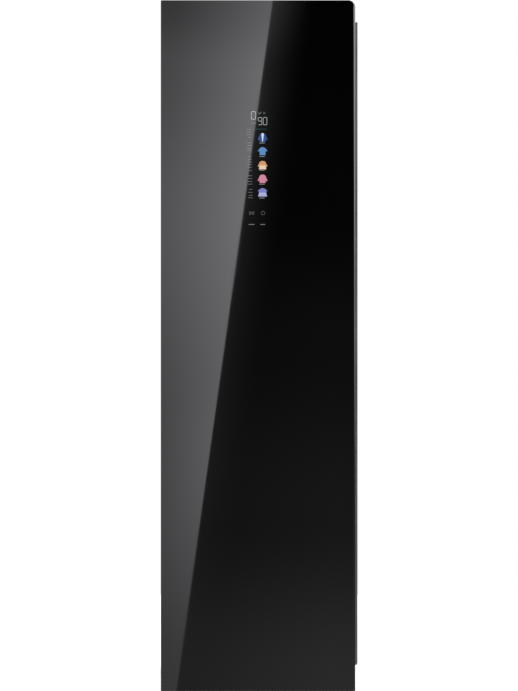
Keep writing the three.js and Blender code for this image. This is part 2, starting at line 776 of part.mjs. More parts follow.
const driveDepth = blowerWidth + motorLength + motorRearGap;
const machineRoomDepth = exchangerFrontGap + exchangerDepth + driveDepth + 2 * fitGap;
const bayY = [behindFrameY, rearY - machineRoomDepth];
const exchangerX = [-exchangerHalfWidth, exchangerHalfWidth];
const exchangerY = [bayY[1] + exchangerFrontGap, bayY[1] + exchangerFrontGap + exchangerDepth];
const blowerY = [exchangerY[1] + fitGap, exchangerY[1] + fitGap + blowerWidth];
const scrollRadius = impellerDiameter / 2 + scrollClearance;
const tongueAngle = Math.PI / 3;
const outletX = [
  blowerCentreX + scrollRadius * Math.cos(tongueAngle),
  blowerCentreX + scrollRadius + scrollGrowth,
];
const outletY = grown(blowerY, -moulding);
const inletX = around(0, inletWidth);
const inletY = [chamberY[0] + inletFromFront, chamberY[0] + inletFromFront + inletLength];
const generatorY = [bayY[1] + generatorFromBay, bayY[1] + generatorFromBay + generatorDepth];
const nozzleX = generatorX;
const nozzleY = (generatorY[0] + generatorY[1]) / 2;
const shelfTopOfRail = shelfRailZ + shelfRailHeight;

function chamberLiner() {
  const radius = chamberRadius + chamberLap;
  const outside = roundedRect(grown(linerX, moulding), grown(linerZ, moulding), radius + moulding);
  const walls = upright(outside, chamberY, 6);
  const hollow = upright(roundedRect(linerX, linerZ, radius), [chamberY[0] - overrun, chamberBackY], 6);
  const lip = halfDoor - sideFlange - fitGap;
  const flangeZ = [floorUnderZ, ceilingTopZ + lip - linerX[1] - moulding];
  const flange = box([-lip, lip], [chamberY[0], chamberY[0] + moulding], flangeZ);
  const shelfRailSpan = [shelfRailZ, shelfTopOfRail];
  const shelfRailY = [chamberY[0] + shelfRailSetBack, chamberBackY + moulding / 2];
  const shelfRails = [-1, 1].map((side) => {
    const inner = side * (linerX[1] - shelfRailDepth);
    const outer = side * (linerX[1] + moulding / 2);
    return box(ordered(inner, outer), shelfRailY, shelfRailSpan);
  });
  const ribPitch = (linerX[1] - linerX[0]) / backRibCount;
  const ribs = spread(backRibCount, ribPitch).map((x) =>
    box(around(x, backRibWidth), [chamberBackY - backRibRise, chamberBackY + moulding / 2],
      grown(linerZ, -backRibMargin)));
  const floorCut = grown([floorUnderZ, linerZ[0]], overrun);
  const ceilingCut = grown([linerZ[1], ceilingTopZ], overrun);
  const slots = stems.map((x) =>
    box(around(x, stemSlotLength), around(railY, stemSlotWidth), ceilingCut));
  const shell = join(cut(join(walls, flange), hollow), ...shelfRails, ...ribs);
  return cut(
    shell,
    box(inletX, inletY, floorCut),
    box(outletX, outletY, floorCut),
    roundAlongZ(nozzleX, nozzleY, hoseDiameter + 2 * fitGap, floorCut),
    ...slots);
}

// A flat grille over an opening, with bars across its short way.
function grille(openX, openY, z) {
  const x = grown(openX, grilleRim);
  const y = grown(openY, grilleRim);
  const plate = lying(roundedRect(x, y, grilleRim), z);
  const length = openX[1] - openX[0];
  const count = Math.floor(length / grilleBarPitch);
  const middle = (openX[0] + openX[1]) / 2;
  const slots = spread(count, length / count).map((step) =>
    box(around(middle + step, length / count - grilleBar), openY, grown(z, overrun)));
  return cut(plate, ...slots);
}

function steamNozzle() {
  const z = [linerZ[0] + fitGap, linerZ[0] + nozzleHeight];
  const x = around(nozzleX, nozzleWidth);
  const y = around(nozzleY, nozzleLength);
  const cap = lying(roundedRect(x, y, nozzleRadius), z);
  const hollow = lying(
    roundedRect(grown(x, -moulding), grown(y, -moulding), nozzleRadius - moulding),
    [z[0] - overrun, z[1] - moulding]);
  const slots = spread(nozzleSlots, nozzleLength / (nozzleSlots + 1)).map((step) =>
    box(grown(x, -nozzleRadius), around(nozzleY + step, nozzleSlot), grown(z, overrun)));
  return cut(cap, hollow, ...slots);
}

const coverX = grown(linerX, -ceilingCoverSideGap);
const coverY = around(railY, ceilingCoverDepth);
const coverZ = [linerZ[1] - fitGap - ceilingCoverDrop, linerZ[1] - fitGap];
const lensX = around(0, lensLength);
const lensY = around(coverY[0] + lensFromEdge + lensWidth / 2, lensWidth);

function ceilingCover() {
  const tray = lying(roundedRect(coverX, coverY, ceilingCoverRadius), coverZ);
  const hollow = lying(
    roundedRect(grown(coverX, -moulding), grown(coverY, -moulding), ceilingCoverRadius - moulding),
    [coverZ[0] + moulding, coverZ[1] + overrun]);
  const slots = stems.map((x) =>
    box(around(x, stemSlotLength), around(railY, stemSlotWidth), grown(coverZ, overrun)));
  const window = box(grown(lensX, fitGap), grown(lensY, fitGap), grown(coverZ, overrun));
  return cut(tray, hollow, window, ...slots);
}

function lightLens() {
  const z = [coverZ[0] - lensProud, coverZ[0] + lensThickness];
  return lying(roundedRect(lensX, lensY, lensRadius), z, 2);
}

function wireShelf() {
  const z = [shelfTopOfRail + fitGap, shelfTopOfRail + fitGap + wireDiameter];
  const middleZ = (z[0] + z[1]) / 2;
  const x = grown(linerX, -shelfSideGap);
  const y = [chamberY[0] + shelfSetBack, chamberBackY - shelfRearGap];
  const inside = roundedRect(grown(x, -wireDiameter), grown(y, -wireDiameter), 2 * wireDiameter);
  const rim = cut(lying(roundedRect(x, y, 3 * wireDiameter), z), lying(inside, grown(z, overrun)));
  const wires = spread(shelfWires, (x[1] - x[0]) / (shelfWires + 1)).map((at) =>
    roundAlongY(at, middleZ, shelfWire, grown(y, -wireDiameter / 2), 3));
  const bars = spread(shelfCrossBars, (y[1] - y[0]) / (shelfCrossBars + 1)).map((step) =>
    box(grown(x, -wireDiameter / 2), around((y[0] + y[1]) / 2 + step, shelfWire), [z[0], middleZ]));
  return join(rim, ...wires, ...bars);
}

const chamber = assembly("chamber");
piece(chamber, "chamber_liner", whitePlastic, chamberLiner());
const grilleZ = [linerZ[0] + fitGap, linerZ[0] + fitGap + grilleThickness];
piece(chamber, "air_inlet_grille", greyPlastic, grille(inletX, inletY, grilleZ));
piece(chamber, "air_outlet_grille", greyPlastic, grille(outletX, outletY, grilleZ));
piece(chamber, "steam_nozzle", greyPlastic, steamNozzle());
piece(chamber, "ceiling_cover", greyPlastic, ceilingCover());
piece(chamber, "light_lens", clearPlastic, lightLens());
piece(assembly("shelf"), "wire_shelf", steelRod, wireShelf());

// Moving hanger rail: a slotted carriage on two rods, shaken from side to side by a crank
const rodZ = ceilingTopZ + rodLift;
const carriageZ = [rodZ + lugHeight / 2, rodZ + lugHeight / 2 + carriageThickness];
const carriageHalf = stemSpacing / 2 + lugLength / 2 + carriageMargin;
const bracketInner = carriageHalf + railStroke + carriageMargin / 2;
const rodsY = [railY - rodSpacing / 2, railY + rodSpacing / 2];
const discZ = [carriageZ[1] + crankRise, carriageZ[1] + crankRise + crankDiscThickness];
const bridgeZ = [discZ[1] + crankRise / 2, discZ[1] + crankRise / 2 + driveFrameSheet];

function hangerRail() {
  const z = [railZ - railHeight, railZ];
  const section = roundedRect(around(railY, railThickness), z, railCornerRadius);
  const bar = across(section, around(0, railLength), 2);
  const notches = spread(railNotches, railNotchPitch).map((x) =>
    roundAlongY(x, railZ, 2 * railNotchRadius, grown(around(railY, railThickness), overrun), 4));
  const posts = stems.map((x) =>
    roundAlongZ(x, railY, stemDiameter, [railZ - railHeight / 2, carriageZ[0] - fitGap], 6));
  return join(cut(bar, ...notches), ...posts);
}

function railCarriage() {
  const plateY = around(railY, carriageWidth);
  const plate = lying(roundedRect([-carriageHalf, carriageHalf], plateY, carriageMargin), carriageZ, 2);
  const lugZ = [rodZ - lugHeight / 2, carriageZ[0] + carriageThickness / 2];
  const lugs = stems.flatMap((x) => rodsY.map((y) =>
    box(around(x, lugLength), around(y, lugWidth), lugZ)));
  const bores = rodsY.map((y) =>
    roundAlongX(y, rodZ, rodDiameter + 2 * fitGap, [-carriageHalf, carriageHalf], 5));
  const half = crankPinDiameter / 2 + crankPinGap;
  const slotY = [railY - crankRadius - half, railY - crankRadius * Math.SQRT1_2 + half];
  const slot = lying(roundedRect([-half, half], slotY, half / 2), grown(carriageZ, overrun), 2);
  const windowY = around(railY, carriageWindowWidth);
  const through = grown(carriageZ, overrun);
  const windows = [-carriageHalf / 2, carriageHalf / 2].map((x) =>
    lying(roundedRect(around(x, carriageWindowLength), windowY, carriageMargin), through, 2));
  return cut(join(plate, ...lugs), slot, ...windows, ...bores);
}

function crankDisc() {
  const disc = roundAlongZ(0, railY, crankDiscDiameter, discZ, 10);
  const pin = roundAlongZ(0, railY - crankRadius, crankPinDiameter,
    [carriageZ[0] + fitGap, discZ[0] + crankDiscThickness / 2], 5);
  const bore = roundAlongZ(0, railY, shaftDiameter + 2 * fitGap, grown(discZ, overrun), 5);
  return cut(join(disc, pin), bore);
}

function driveFrame() {
  const z = [ceilingTopZ + fitGap, bridgeZ[1]];
  const outer = bracketInner + rodBracket;
  const ends = [[-outer, -bracketInner], [bracketInner, outer]].map((x) =>
    box(x, around(railY, rodSpacing + 2 * rodBracket), z));
  const bridge = box([-outer, outer], around(railY, driveFrameWidth), bridgeZ);
  const bores = rodsY.map((y) =>
    roundAlongX(y, rodZ, rodDiameter + 2 * fitGap, [-outer - overrun, outer + overrun], 5));
  const shaftHole = roundAlongZ(0, railY, shaftHoleDiameter, grown(bridgeZ, overrun), 6);
  return cut(join(bridge, ...ends), shaftHole, ...bores);
}

function driveMotor() {
  const z = [bridgeZ[1] + fitGap, bridgeZ[1] + fitGap + driveMotorHeight];
  const shaft = roundAlongZ(0, railY, shaftDiameter, [discZ[0], z[0] + overrun], 5);
  return join(roundAlongZ(0, railY, driveMotorDiameter, z, 8), shaft);
}

const rail = assembly("hanger_rail_drive");
piece(rail, "hanger_rail", anodised, hangerRail());
piece(rail, "rail_carriage", greyPlastic, railCarriage());
piece(rail, "crank_disc", whitePlastic, crankDisc());
piece(rail, "drive_frame", zincSteel, driveFrame());
piece(rail, "drive_motor", zincSteel, driveMotor());
const rodSpan = [-bracketInner - rodBracket, bracketInner + rodBracket];
piece(rail, "guide_rod_front", steelRod, roundAlongX(rodsY[0], rodZ, rodDiameter, rodSpan, 5));
piece(rail, "guide_rod_rear", steelRod, roundAlongX(rodsY[1], rodZ, rodDiameter, rodSpan, 5));

// Water tanks in their bay
const bayX = grown(chamberX, bayLap);
const tankY = [caseFrontY + tankFrontSetBack, bayY[1] - moulding - tankRearGap];
const tankZ = [bayZ[0] + fitGap, bayZ[1] - tankHeadroom - tankLidThickness - fitGap];
const tankInner = bayDivider / 2 + tankGap;
const tankOuter = halfOpening - tankGap;

function tankBay() {
  const outer = upright(roundedRect(grown(bayX, moulding), grown(bayZ, moulding), bayRadius), bayY);
  const hollow = upright(roundedRect(bayX, bayZ, bayRadius), [bayY[0] - overrun, bayY[1] - moulding]);
  const divider = box(around(0, bayDivider), [bayY[0], bayY[1] - moulding / 2], grown(bayZ, moulding / 2));
  return join(cut(outer, hollow), divider);
}

// A tub with a finger pull in its front; side is -1 on the left and +1 on the right.
function waterTank(side) {
  const x = side > 0 ? [tankInner, tankOuter] : [-tankOuter, -tankInner];
  const middle = (x[0] + x[1]) / 2;
  const tub = lying(roundedRect(x, tankY, tankRadius), tankZ);
  const hollow = lying(
    roundedRect(grown(x, -moulding), grown(tankY, -moulding), tankRadius - moulding),
    [tankZ[0] + moulding, tankZ[1] + overrun]);
  const pullTop = tankZ[1] - pullFromTop;
  const pocketX = around(middle, pullWidth);
  const pocketY = [tankY[0] - overrun, tankY[0] + pullDepth];
  const mouth = box(pocketX, pocketY, [pullTop - pullHeight, pullTop]);
  const undercut = box(pocketX, [tankY[0] + pullLip, pocketY[1]], [pullTop - pullHeight, pullTop + pullLip]);
  const pocketWall = box(
    grown(pocketX, moulding), [tankY[0] + moulding / 2, pocketY[1] + moulding],
    [pullTop - pullHeight - moulding, pullTop + pullLip + moulding]);
  return cut(join(cut(tub, hollow), pocketWall), mouth, undercut);
}

function tankLid(side) {
  const x = side > 0 ? [tankInner, tankOuter] : [-tankOuter, -tankInner];
  const z = [tankZ[1] + fitGap, tankZ[1] + fitGap + tankLidThickness];
  const plate = lying(roundedRect(x, tankY, tankRadius), z);
  const inset = moulding + fitGap;
  const step = lying(
    roundedRect(grown(x, -inset), grown(tankY, -inset), tankRadius - inset),
    [z[0] - tankLidStep, z[0] + tankLidThickness / 2]);
  const disc = (diameter, span) =>
    roundAlongZ((x[0] + x[1]) / 2, tankY[0] + capFromFront, diameter, span, 8);
  const groove = disc(capDiameter, [z[1] - capGroove, z[1] + overrun]);
  const cap = disc(capDiameter - 2 * capGroove, [z[0] + tankLidThickness / 2, z[1] + capRise]);
  return join(cut(join(plate, step), groove), cap);
}

const tanks = assembly("water_tanks");
piece(tanks, "tank_bay", greyPlastic, tankBay());
piece(tanks, "supply_tank", clearPlastic, waterTank(1));
piece(tanks, "supply_tank_lid", greyPlastic, tankLid(1));
piece(tanks, "drain_tank", clearPlastic, waterTank(-1));
piece(tanks, "drain_tank_lid", greyPlastic, tankLid(-1));

// Lint filter: a frame with a flat net, in a channel below the air inlet
const ductZ = [bayZ[1] + moulding + fitGap, floorUnderZ - fitGap];
const ductInnerX = slotX;
const filterX = around(0, filterWidth);
const filterY = [caseFrontY + filterSetBack, exchangerY[0] - filterRearGap];
const filterSpanZ = [filterZ, filterZ + filterHeight];

function intakeDuct() {
  const y = [behindFrameY, exchangerY[0] - fitGap];
  const channel = cut(
    box(grown(ductInnerX, moulding), y, ductZ),
    box(ductInnerX, grown(y, overrun), [ductZ[0] + moulding, ductZ[1] + overrun]));
  const ledgeZ = [filterZ - fitGap - filterLedge, filterZ - fitGap];
  const ledges = [-1, 1].map((side) => {
    const inner = side * (slotX[1] - filterLedge);
    const outer = side * (slotX[1] + moulding / 2);
    return box(ordered(inner, outer), [y[0], filterY[1]], ledgeZ);
  });
  return join(channel, ...ledges);
}

function lintFilter() {
  const openX = grown(filterX, -filterRim);
  const openY = grown(filterY, -filterRim);
  const rim = cut(box(filterX, filterY, filterSpanZ), box(openX, openY, grown(filterSpanZ, overrun)));
  const bars = spread(filterBars, (openX[1] - openX[0]) / (filterBars + 1)).map((at) =>
    box(around(at, filterBarWidth), grown(openY, overrun), [filterZ, filterZ + netHeight]));
  const pullX = around(0, filterPullWidth);
  const pull = box(pullX, [filterY[0] - overrun, filterY[0] + filterPullDepth],
    [filterZ + filterPullLip, filterZ + filterHeight - filterPullLip]);
  return cut(join(rim, lintNet(openX, openY), ...bars), pull);
}

// The net is moulded into the frame's rim.
function lintNet(openX, openY) {
  const z = [filterZ + netHeight, filterZ + netHeight + netThickness];
  const strands = (span) => spread(Math.floor((span[1] - span[0]) / netPitch), netPitch)
    .map((step) => around((span[0] + span[1]) / 2 + step, netStrand));
  const lengthwise = strands(openX).map((x) => box(x, grown(openY, overrun), z));
  const crosswise = strands(openY).map((y) => box(grown(openX, overrun), y, z));
  return join(...lengthwise, ...crosswise);
}

const airPath = assembly("air_path");
piece(airPath, "intake_duct", greyPlastic, intakeDuct());
piece(airPath, "lint_filter", greyPlastic, lintFilter());

// Heat exchangers in their housing, over a condensate tray
const exchangerZ = [exchangerBottomZ, floorUnderZ - fitGap];
const coilFrontY = exchangerY[0] + moulding + coilMargin;
const evaporatorY = [coilFrontY, coilFrontY + coilDepth];
const condenserY = evaporatorY.map((y) => y + coilDepth + coilGap);
const coilX = grown(exchangerX, -moulding - fitGap);
const coilZ = [exchangerZ[0] + moulding + fitGap, exchangerZ[0] + moulding + fitGap + coilHeight];

function exchangerHousing() {
  const inside = [exchangerX, exchangerY, exchangerZ].map((span) => grown(span, -moulding));
  const hollow = box(...inside);
  const entry = box(grown(ductInnerX, -fitGap), [exchangerY[0] - overrun, exchangerY[0] + moulding + overrun],
    [ductZ[0] + moulding, ductZ[1] - moulding]);
  const exit = roundAlongY(blowerCentreX, blowerCentreZ, inletDiameter,
    [exchangerY[1] - moulding - overrun, exchangerY[1] + overrun], 10);
  const drain = box(around(0, exchangerHalfWidth), around(exchangerY[0] + exchangerDepth / 2, trayRim),
    [exchangerZ[0] - overrun, exchangerZ[0] + moulding + overrun]);
  const ports = [[evaporatorY, suctionZ], [condenserY, dischargeZ]].map(([y, z]) =>
    roundAlongX((y[0] + y[1]) / 2, z, pipeDiameter + 2 * fitGap,
      [exchangerX[0] - overrun, exchangerX[0] + moulding + overrun], 4));
  return cut(box(exchangerX, exchangerY, exchangerZ), hollow, entry, exit, drain, ...ports);
}

// Upright fins that hang on a spine, with a header tube at the end where the pipe enters.
function finnedCoil(y) {
  const pitch = (coilX[1] - coilX[0] - headerDiameter) / finCount;
  const x0 = coilX[0] + headerDiameter;
  const points = [[x0, y[1]], [x0, y[1] - coilSpine]];
  for (let i = 0; i < finCount; i++) {
    const left = x0 + (i + 1 - finShare) * pitch;
    const right = x0 + (i + 1) * pitch;
    points.push([left, y[1] - coilSpine], [left, y[0]], [right, y[0]]);
    points.push(i < finCount - 1 ? [right, y[1] - coilSpine] : [right, y[1]]);
  }
  const comb = lying(outline(points), coilZ);
  const headerX = x0 - headerDiameter / 2;
  const headerY = (y[0] + y[1]) / 2;
  const header = roundAlongZ(headerX, headerY, headerDiameter, coilZ, 5);
  const links = [coilZ[0], coilZ[1] - headerDiameter].map((z) =>
    box([headerX, x0 + pitch], [headerY, y[1]], [z, z + headerDiameter]));
  return join(comb, header, ...links);
}

function condensateTray() {
  const x = grown(exchangerX, trayWall);
  const y = grown(exchangerY, -fitGap);
  const z = [baseFloorTop + fitGap, exchangerZ[0] - fitGap];
  const hollow = box(grown(x, -trayRim), grown(y, -trayRim), [z[0] + trayWall, z[1] + overrun]);
  return cut(box(x, y, z), hollow);
}

piece(airPath, "exchanger_housing", blackPlastic, exchangerHousing());
piece(airPath, "evaporator", aluminiumFin, finnedCoil(evaporatorY));
piece(airPath, "condenser", aluminiumFin, finnedCoil(condenserY));
piece(airPath, "condensate_tray", blackPlastic, condensateTray());

// Blower: a scroll housing, a centrifugal impeller with swept blades and its motor
function scrollShape(wall, top) {
  const shape = new THREE.Shape();
  const steps = 20;
  const sweep = 2 * Math.PI - tongueAngle;
  for (let i = 0; i <= steps; i++) {
    const angle = tongueAngle + (sweep * i) / steps;
    const radius = scrollRadius + (scrollGrowth * i) / steps + wall;
    const x = blowerCentreX + radius * Math.cos(angle);
    const z = blowerCentreZ + radius * Math.sin(angle);
    if (i) shape.lineTo(x, z);
    else shape.moveTo(outletX[0] - wall, z);
  }
  shape.lineTo(outletX[1] + wall, top).lineTo(outletX[0] - wall, top);
  return shape;
}

function blowerHousing() {
  const top = floorUnderZ - fitGap;
  const outer = upright(scrollShape(moulding, top), blowerY);
  const hollow = upright(scrollShape(0, top + overrun), outletY);
  const eye = roundAlongY(blowerCentreX, blowerCentreZ, inletDiameter,
    [blowerY[0] - overrun, blowerY[0] + moulding + overrun], 10);
  const shaftHole = roundAlongY(blowerCentreX, blowerCentreZ, shaftHoleDiameter,
    [blowerY[1] - moulding - overrun, blowerY[1] + overrun], 5);
  return cut(outer, hollow, eye, shaftHole);
}

const impellerBackY = blowerY[1] - moulding - scrollClearance;
const impellerY = [impellerBackY - impellerWidth, impellerBackY];

function blowerImpeller() {
  const outerRadius = impellerDiameter / 2;
  const rootRadius = outerRadius - bladeLength;
  const turned = (diameter, span, segments) =>
    roundAlongY(blowerCentreX, blowerCentreZ, diameter, span, segments);
  const plate = turned(impellerDiameter, [impellerY[1] - impellerPlate, impellerY[1]], 12);
  const ringY = [impellerY[0], impellerY[0] + impellerRing];
  const ring = cut(turned(impellerDiameter, ringY, 12), turned(2 * rootRadius, grown(ringY, overrun), 12));
  const at = (radius, angle) =>
    [blowerCentreX + radius * Math.cos(angle), blowerCentreZ + radius * Math.sin(angle)];
  const inset = impellerPlate / 2;
  const reach = bladeLength - 2 * inset;
  const bladeY = [impellerY[0] + impellerRing / 2, impellerY[1] - impellerPlate / 2];
  const stations = [0, 0.5, 1];
  const blades = Array.from({ length: bladeCount }, (_, i) => {
    const start = (i * 2 * Math.PI) / bladeCount;
    const edge = (side) => stations.map((share) => {
      const radius = rootRadius + inset + reach * share;
      const turn = start - bladeSweep * share * share + (side * bladeThickness) / (2 * radius);
      return at(radius, turn);
    });
    return upright(outline([...edge(1), ...edge(-1).reverse()]), bladeY);
  });
  const hub = turned(hubDiameter, [impellerY[1] - impellerWidth / 2, impellerY[1] - impellerPlate / 2], 6);
  const bore = turned(shaftDiameter + 2 * fitGap, grown(impellerY, overrun), 5);
  return cut(join(plate, ring, hub, ...blades), bore);
}

function blowerMotor() {
  const y = [blowerY[1] + fitGap, blowerY[1] + fitGap + motorLength];
  const turned = (diameter, span, segments) =>
    roundAlongY(blowerCentreX, blowerCentreZ, diameter, span, segments);
  const can = turned(motorDiameter, y, 8);
  const boss = turned(hubDiameter, [y[1] - overrun, y[1] + overrun], 6);
  const shaft = turned(shaftDiameter, [impellerY[0] + impellerWidth / 2, y[0] + overrun], 5);
  return join(can, boss, shaft);
}

piece(airPath, "blower_housing", blackPlastic, blowerHousing());
piece(airPath, "blower_impeller", greyPlastic, blowerImpeller());
piece(airPath, "blower_motor", zincSteel, blowerMotor());

// Machine room: compressor, steam generator, pumps, pipes and control box
const compressorY = rearY - compressorFromRear;
const machineFloorZ = baseFloorTop + fitGap;
const compressorBaseZ = machineFloorZ + compressorFootHeight;
const compressorPlateZ = [compressorBaseZ, compressorBaseZ + compressorPlate];
const compressorTopZ = compressorPlateZ[1] + compressorHeight;

function compressor() {
  const radius = compressorDiameter / 2;
  const base = compressorPlateZ[1] - compressorPlate / 2;
  const seam = compressorPlateZ[1] + compressorHeight * compressorSeamShare;
  const profile = [
    [0, base],
    [radius * compressorBaseShare, base],
    [radius, base + radius * compressorCurveShare],
    [radius, seam],
    [radius + compressorSeam, seam],
    [radius + compressorSeam, seam + compressorSeam],
    [radius, seam + 2 * compressorSeam],
    [radius * compressorShoulderShare, compressorTopZ - radius / 2],
    [radius * compressorCrownShare, compressorTopZ - compressorCrownRise],
    [0, compressorTopZ],
  ];
  const plateX = around(compressorX, compressorDiameter + compressorFootDiameter / 2);
  const plateY = around(compressorY, compressorDiameter + compressorFootDiameter / 2);
  const inset = compressorFootDiameter / 2;
  const plate = lying(roundedRect(plateX, plateY, inset), compressorPlateZ, 2);
  const legZ = [machineFloorZ, compressorPlateZ[1]];
  const legs = grown(plateX, -inset).flatMap((x) => grown(plateY, -inset).map((y) =>
    roundAlongZ(x, y, compressorFootDiameter, legZ, 4)));
  return join(turnedPiece(profile, compressorX, compressorY, 20), plate, ...legs);
}

function steamGenerator() {
  const x = around(generatorX, generatorWidth);
  const z = [machineFloorZ + generatorStand, machineFloorZ + generatorStand + generatorHeight];
  const body = box(x, generatorY, z);
  const ribs = spread(generatorRibs, generatorDepth / generatorRibs).map((step) =>
    box(grown(x, generatorRib), around(nozzleY + step, generatorRib), grown(z, -generatorRib)));
  const standX = grown(x, -generatorStandInset);
  const stand = box(standX, grown(generatorY, -generatorRib), [machineFloorZ, z[0] + generatorRib]);
  const neckZ = [z[1] - generatorRib, z[1] + generatorNeck];
  const neck = roundAlongZ(generatorX, nozzleY, hoseBore - 2 * fitGap, neckZ, 5);
  return join(body, stand, neck, ...ribs);
}

function steamHose() {
  const bottom = machineFloorZ + generatorStand + generatorHeight + fitGap;
  const top = linerZ[0] - fitGap;
  const ribTop = floorUnderZ - hoseDiameter;
  const ribStart = bottom + hoseDiameter;
  const pitch = (ribTop - ribStart) / hoseRibs;
  const outside = [[hoseDiameter / 2, bottom]];
  for (let i = 0; i < hoseRibs; i++) {
    const z = ribStart + i * pitch;
    outside.push([hoseDiameter / 2, z], [hoseDiameter / 2 + hoseRib, z + pitch / 2]);
  }
  outside.push([hoseDiameter / 2, ribTop], [hoseDiameter / 2, top]);
  const bore = [[hoseBore / 2, top], [hoseBore / 2, bottom], [hoseDiameter / 2, bottom]];
  return turnedPiece([...outside, ...bore], nozzleX, nozzleY, 12);
}

function waterPump(x, y) {
  const z = machineFloorZ + pumpStand + pumpDiameter / 2;
  const can = roundAlongY(x, z, pumpDiameter, around(y, pumpLength), 6);
  const head = roundAlongY(x, z, pumpHeadDiameter, [y - pumpLength / 2 - pumpHeadLength, y], 6);
  const spoutY = y - (pumpLength + pumpHeadLength) / 2;
  const spout = roundAlongZ(x, spoutY, pumpSpoutDiameter, [z, z + pumpDiameter / 2 + pumpSpout], 5);
  const cradleX = around(x, pumpDiameter * cradleShare);
  const cradle = box(cradleX, around(y, pumpLength * cradleShare), [machineFloorZ, z]);
  return join(can, head, spout, cradle);
}

function controlBox() {
  const x = around(0, controlWidth);
  const y = [chamberY[1] - controlFromBack - controlDepth, chamberY[1] - controlFromBack];
  const z = [ceilingTopZ + fitGap, ceilingTopZ + fitGap + controlHeight];
  const tray = box(x, y, z);
  const lid = box(grown(x, controlLip), grown(y, controlLip), [z[1] - controlLip, z[1]]);
  return join(tray, lid);
}

function cordGland() {
  const inside = rearY - sheet - fitGap;
  const sleeve = roundAlongY(glandX, glandZ, glandDiameter, [inside - glandReach, rearY]);
  const flange = roundAlongY(glandX, glandZ, glandFlange, [inside - glandReach / 2, inside]);
  const bore = roundAlongY(glandX, glandZ, glandBore, [inside - glandReach - overrun, rearY + overrun], 5);
  return cut(join(sleeve, flange), bore);
}

// A pipe from the compressor's front, round one bend, into a coil's header.
function refrigerantPipe(coilY, z) {
  const y = (coilY[0] + coilY[1]) / 2;
  const face = compressorY - compressorDiameter / 2 - compressorSeam - fitGap;
  const bend = pipeDiameter * 2;
  const points = [
    [compressorX, face, z], [compressorX, (face + y + bend) / 2, z], [compressorX, y + bend, z],
    [compressorX + bend, y, z], [(compressorX + bend + coilX[0]) / 2, y, z], [coilX[0] - fitGap, y, z],
  ];
  return bent(points, pipeDiameter, 16, 4);
}

const machineRoom = assembly("machine_room");
piece(machineRoom, "compressor", compressorPaint, compressor());
piece(machineRoom, "steam_generator", whitePlastic, steamGenerator());
piece(machineRoom, "steam_hose", rubber, steamHose());
piece(machineRoom, "supply_pump", whitePlastic, waterPump(supplyPumpX, rearY - supplyPumpFromRear));
piece(machineRoom, "drain_pump", whitePlastic, waterPump(drainPumpX, bayY[1] + drainPumpFromBay));
piece(machineRoom, "suction_pipe", copper, refrigerantPipe(evaporatorY, suctionZ));
piece(machineRoom, "discharge_pipe", copper, refrigerantPipe(condenserY, dischargeZ));
piece(machineRoom, "control_box", boardPlastic, controlBox());
piece(machineRoom, "cord_gland", rubber, cordGland());

export default cabinet;
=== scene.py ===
"""Clothes care steam cabinet: finishes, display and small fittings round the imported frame.

Metres, +Z up, the door faces -Y, and the floor is z = 0 below the middle of the cabinet.
"""

import json
import math

import bmesh
import bpy
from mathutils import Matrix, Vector


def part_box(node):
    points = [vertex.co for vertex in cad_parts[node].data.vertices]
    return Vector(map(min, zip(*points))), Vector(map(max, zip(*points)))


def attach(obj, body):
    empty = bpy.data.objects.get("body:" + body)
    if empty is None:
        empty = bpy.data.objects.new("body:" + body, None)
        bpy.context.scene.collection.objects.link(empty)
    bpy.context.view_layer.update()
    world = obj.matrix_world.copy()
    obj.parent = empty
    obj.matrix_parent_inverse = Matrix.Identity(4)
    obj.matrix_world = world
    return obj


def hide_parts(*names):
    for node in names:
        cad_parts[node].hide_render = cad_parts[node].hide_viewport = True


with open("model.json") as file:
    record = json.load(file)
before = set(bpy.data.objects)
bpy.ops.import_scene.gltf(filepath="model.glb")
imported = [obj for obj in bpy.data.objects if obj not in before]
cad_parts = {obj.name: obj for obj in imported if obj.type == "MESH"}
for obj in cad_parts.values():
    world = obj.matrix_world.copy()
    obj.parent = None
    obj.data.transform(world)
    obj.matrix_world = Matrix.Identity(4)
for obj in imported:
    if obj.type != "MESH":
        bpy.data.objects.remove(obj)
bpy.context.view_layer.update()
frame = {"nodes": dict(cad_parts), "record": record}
nodes = frame["nodes"]
SLOT_OF = {part["node"]: part["material_slot"] for part in frame["record"]["subparts"]}
BODIES = frame["record"]["behaviour"]["bodies"]
BODY_OF = {node: body for body, held in BODIES.items() for node in held}
MM = 0.001

# Photograph: the door's face is seen straight on through a long lens
PHOTO_WIDTH_PX = 518
PHOTO_HEIGHT_PX = 691
MM_PER_PX = 2.657
PX_OF_X0 = 257.9
PX_OF_TOP = 0.2
CABINET_TOP = 1.85
LENS_MM = 120
SENSOR_MM = 36

face_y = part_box("door_glass")[0].y
camera_distance = LENS_MM / SENSOR_MM * PHOTO_HEIGHT_PX * MM_PER_PX * MM


def at_px(px, py):
    """Place on the door's face, as (x, z), of a point of the photograph."""
    return (px - PX_OF_X0) * MM_PER_PX * MM, CABINET_TOP - (py - PX_OF_TOP) * MM_PER_PX * MM


photo_middle = at_px(PHOTO_WIDTH_PX / 2, PHOTO_HEIGHT_PX / 2)


def make_camera():
    data = bpy.data.cameras.new("photo_camera")
    data.lens = LENS_MM
    data.sensor_width = SENSOR_MM
    camera = bpy.data.objects.new("photo_camera", data)
    bpy.context.collection.objects.link(camera)
    x, z = photo_middle
    camera.location = (x, face_y - camera_distance, z)
    camera.rotation_euler = (math.pi / 2, 0, 0)
    bpy.context.scene.camera = camera


make_camera()


# meshes
def add_object(name, mesh):
    thing = bpy.data.objects.new(name, mesh)
    bpy.context.collection.objects.link(thing)
    return thing


def mesh_object(name, bm):
    mesh = bpy.data.meshes.new(name)
    bm.to_mesh(mesh)
    bm.free()
    return add_object(name, mesh)


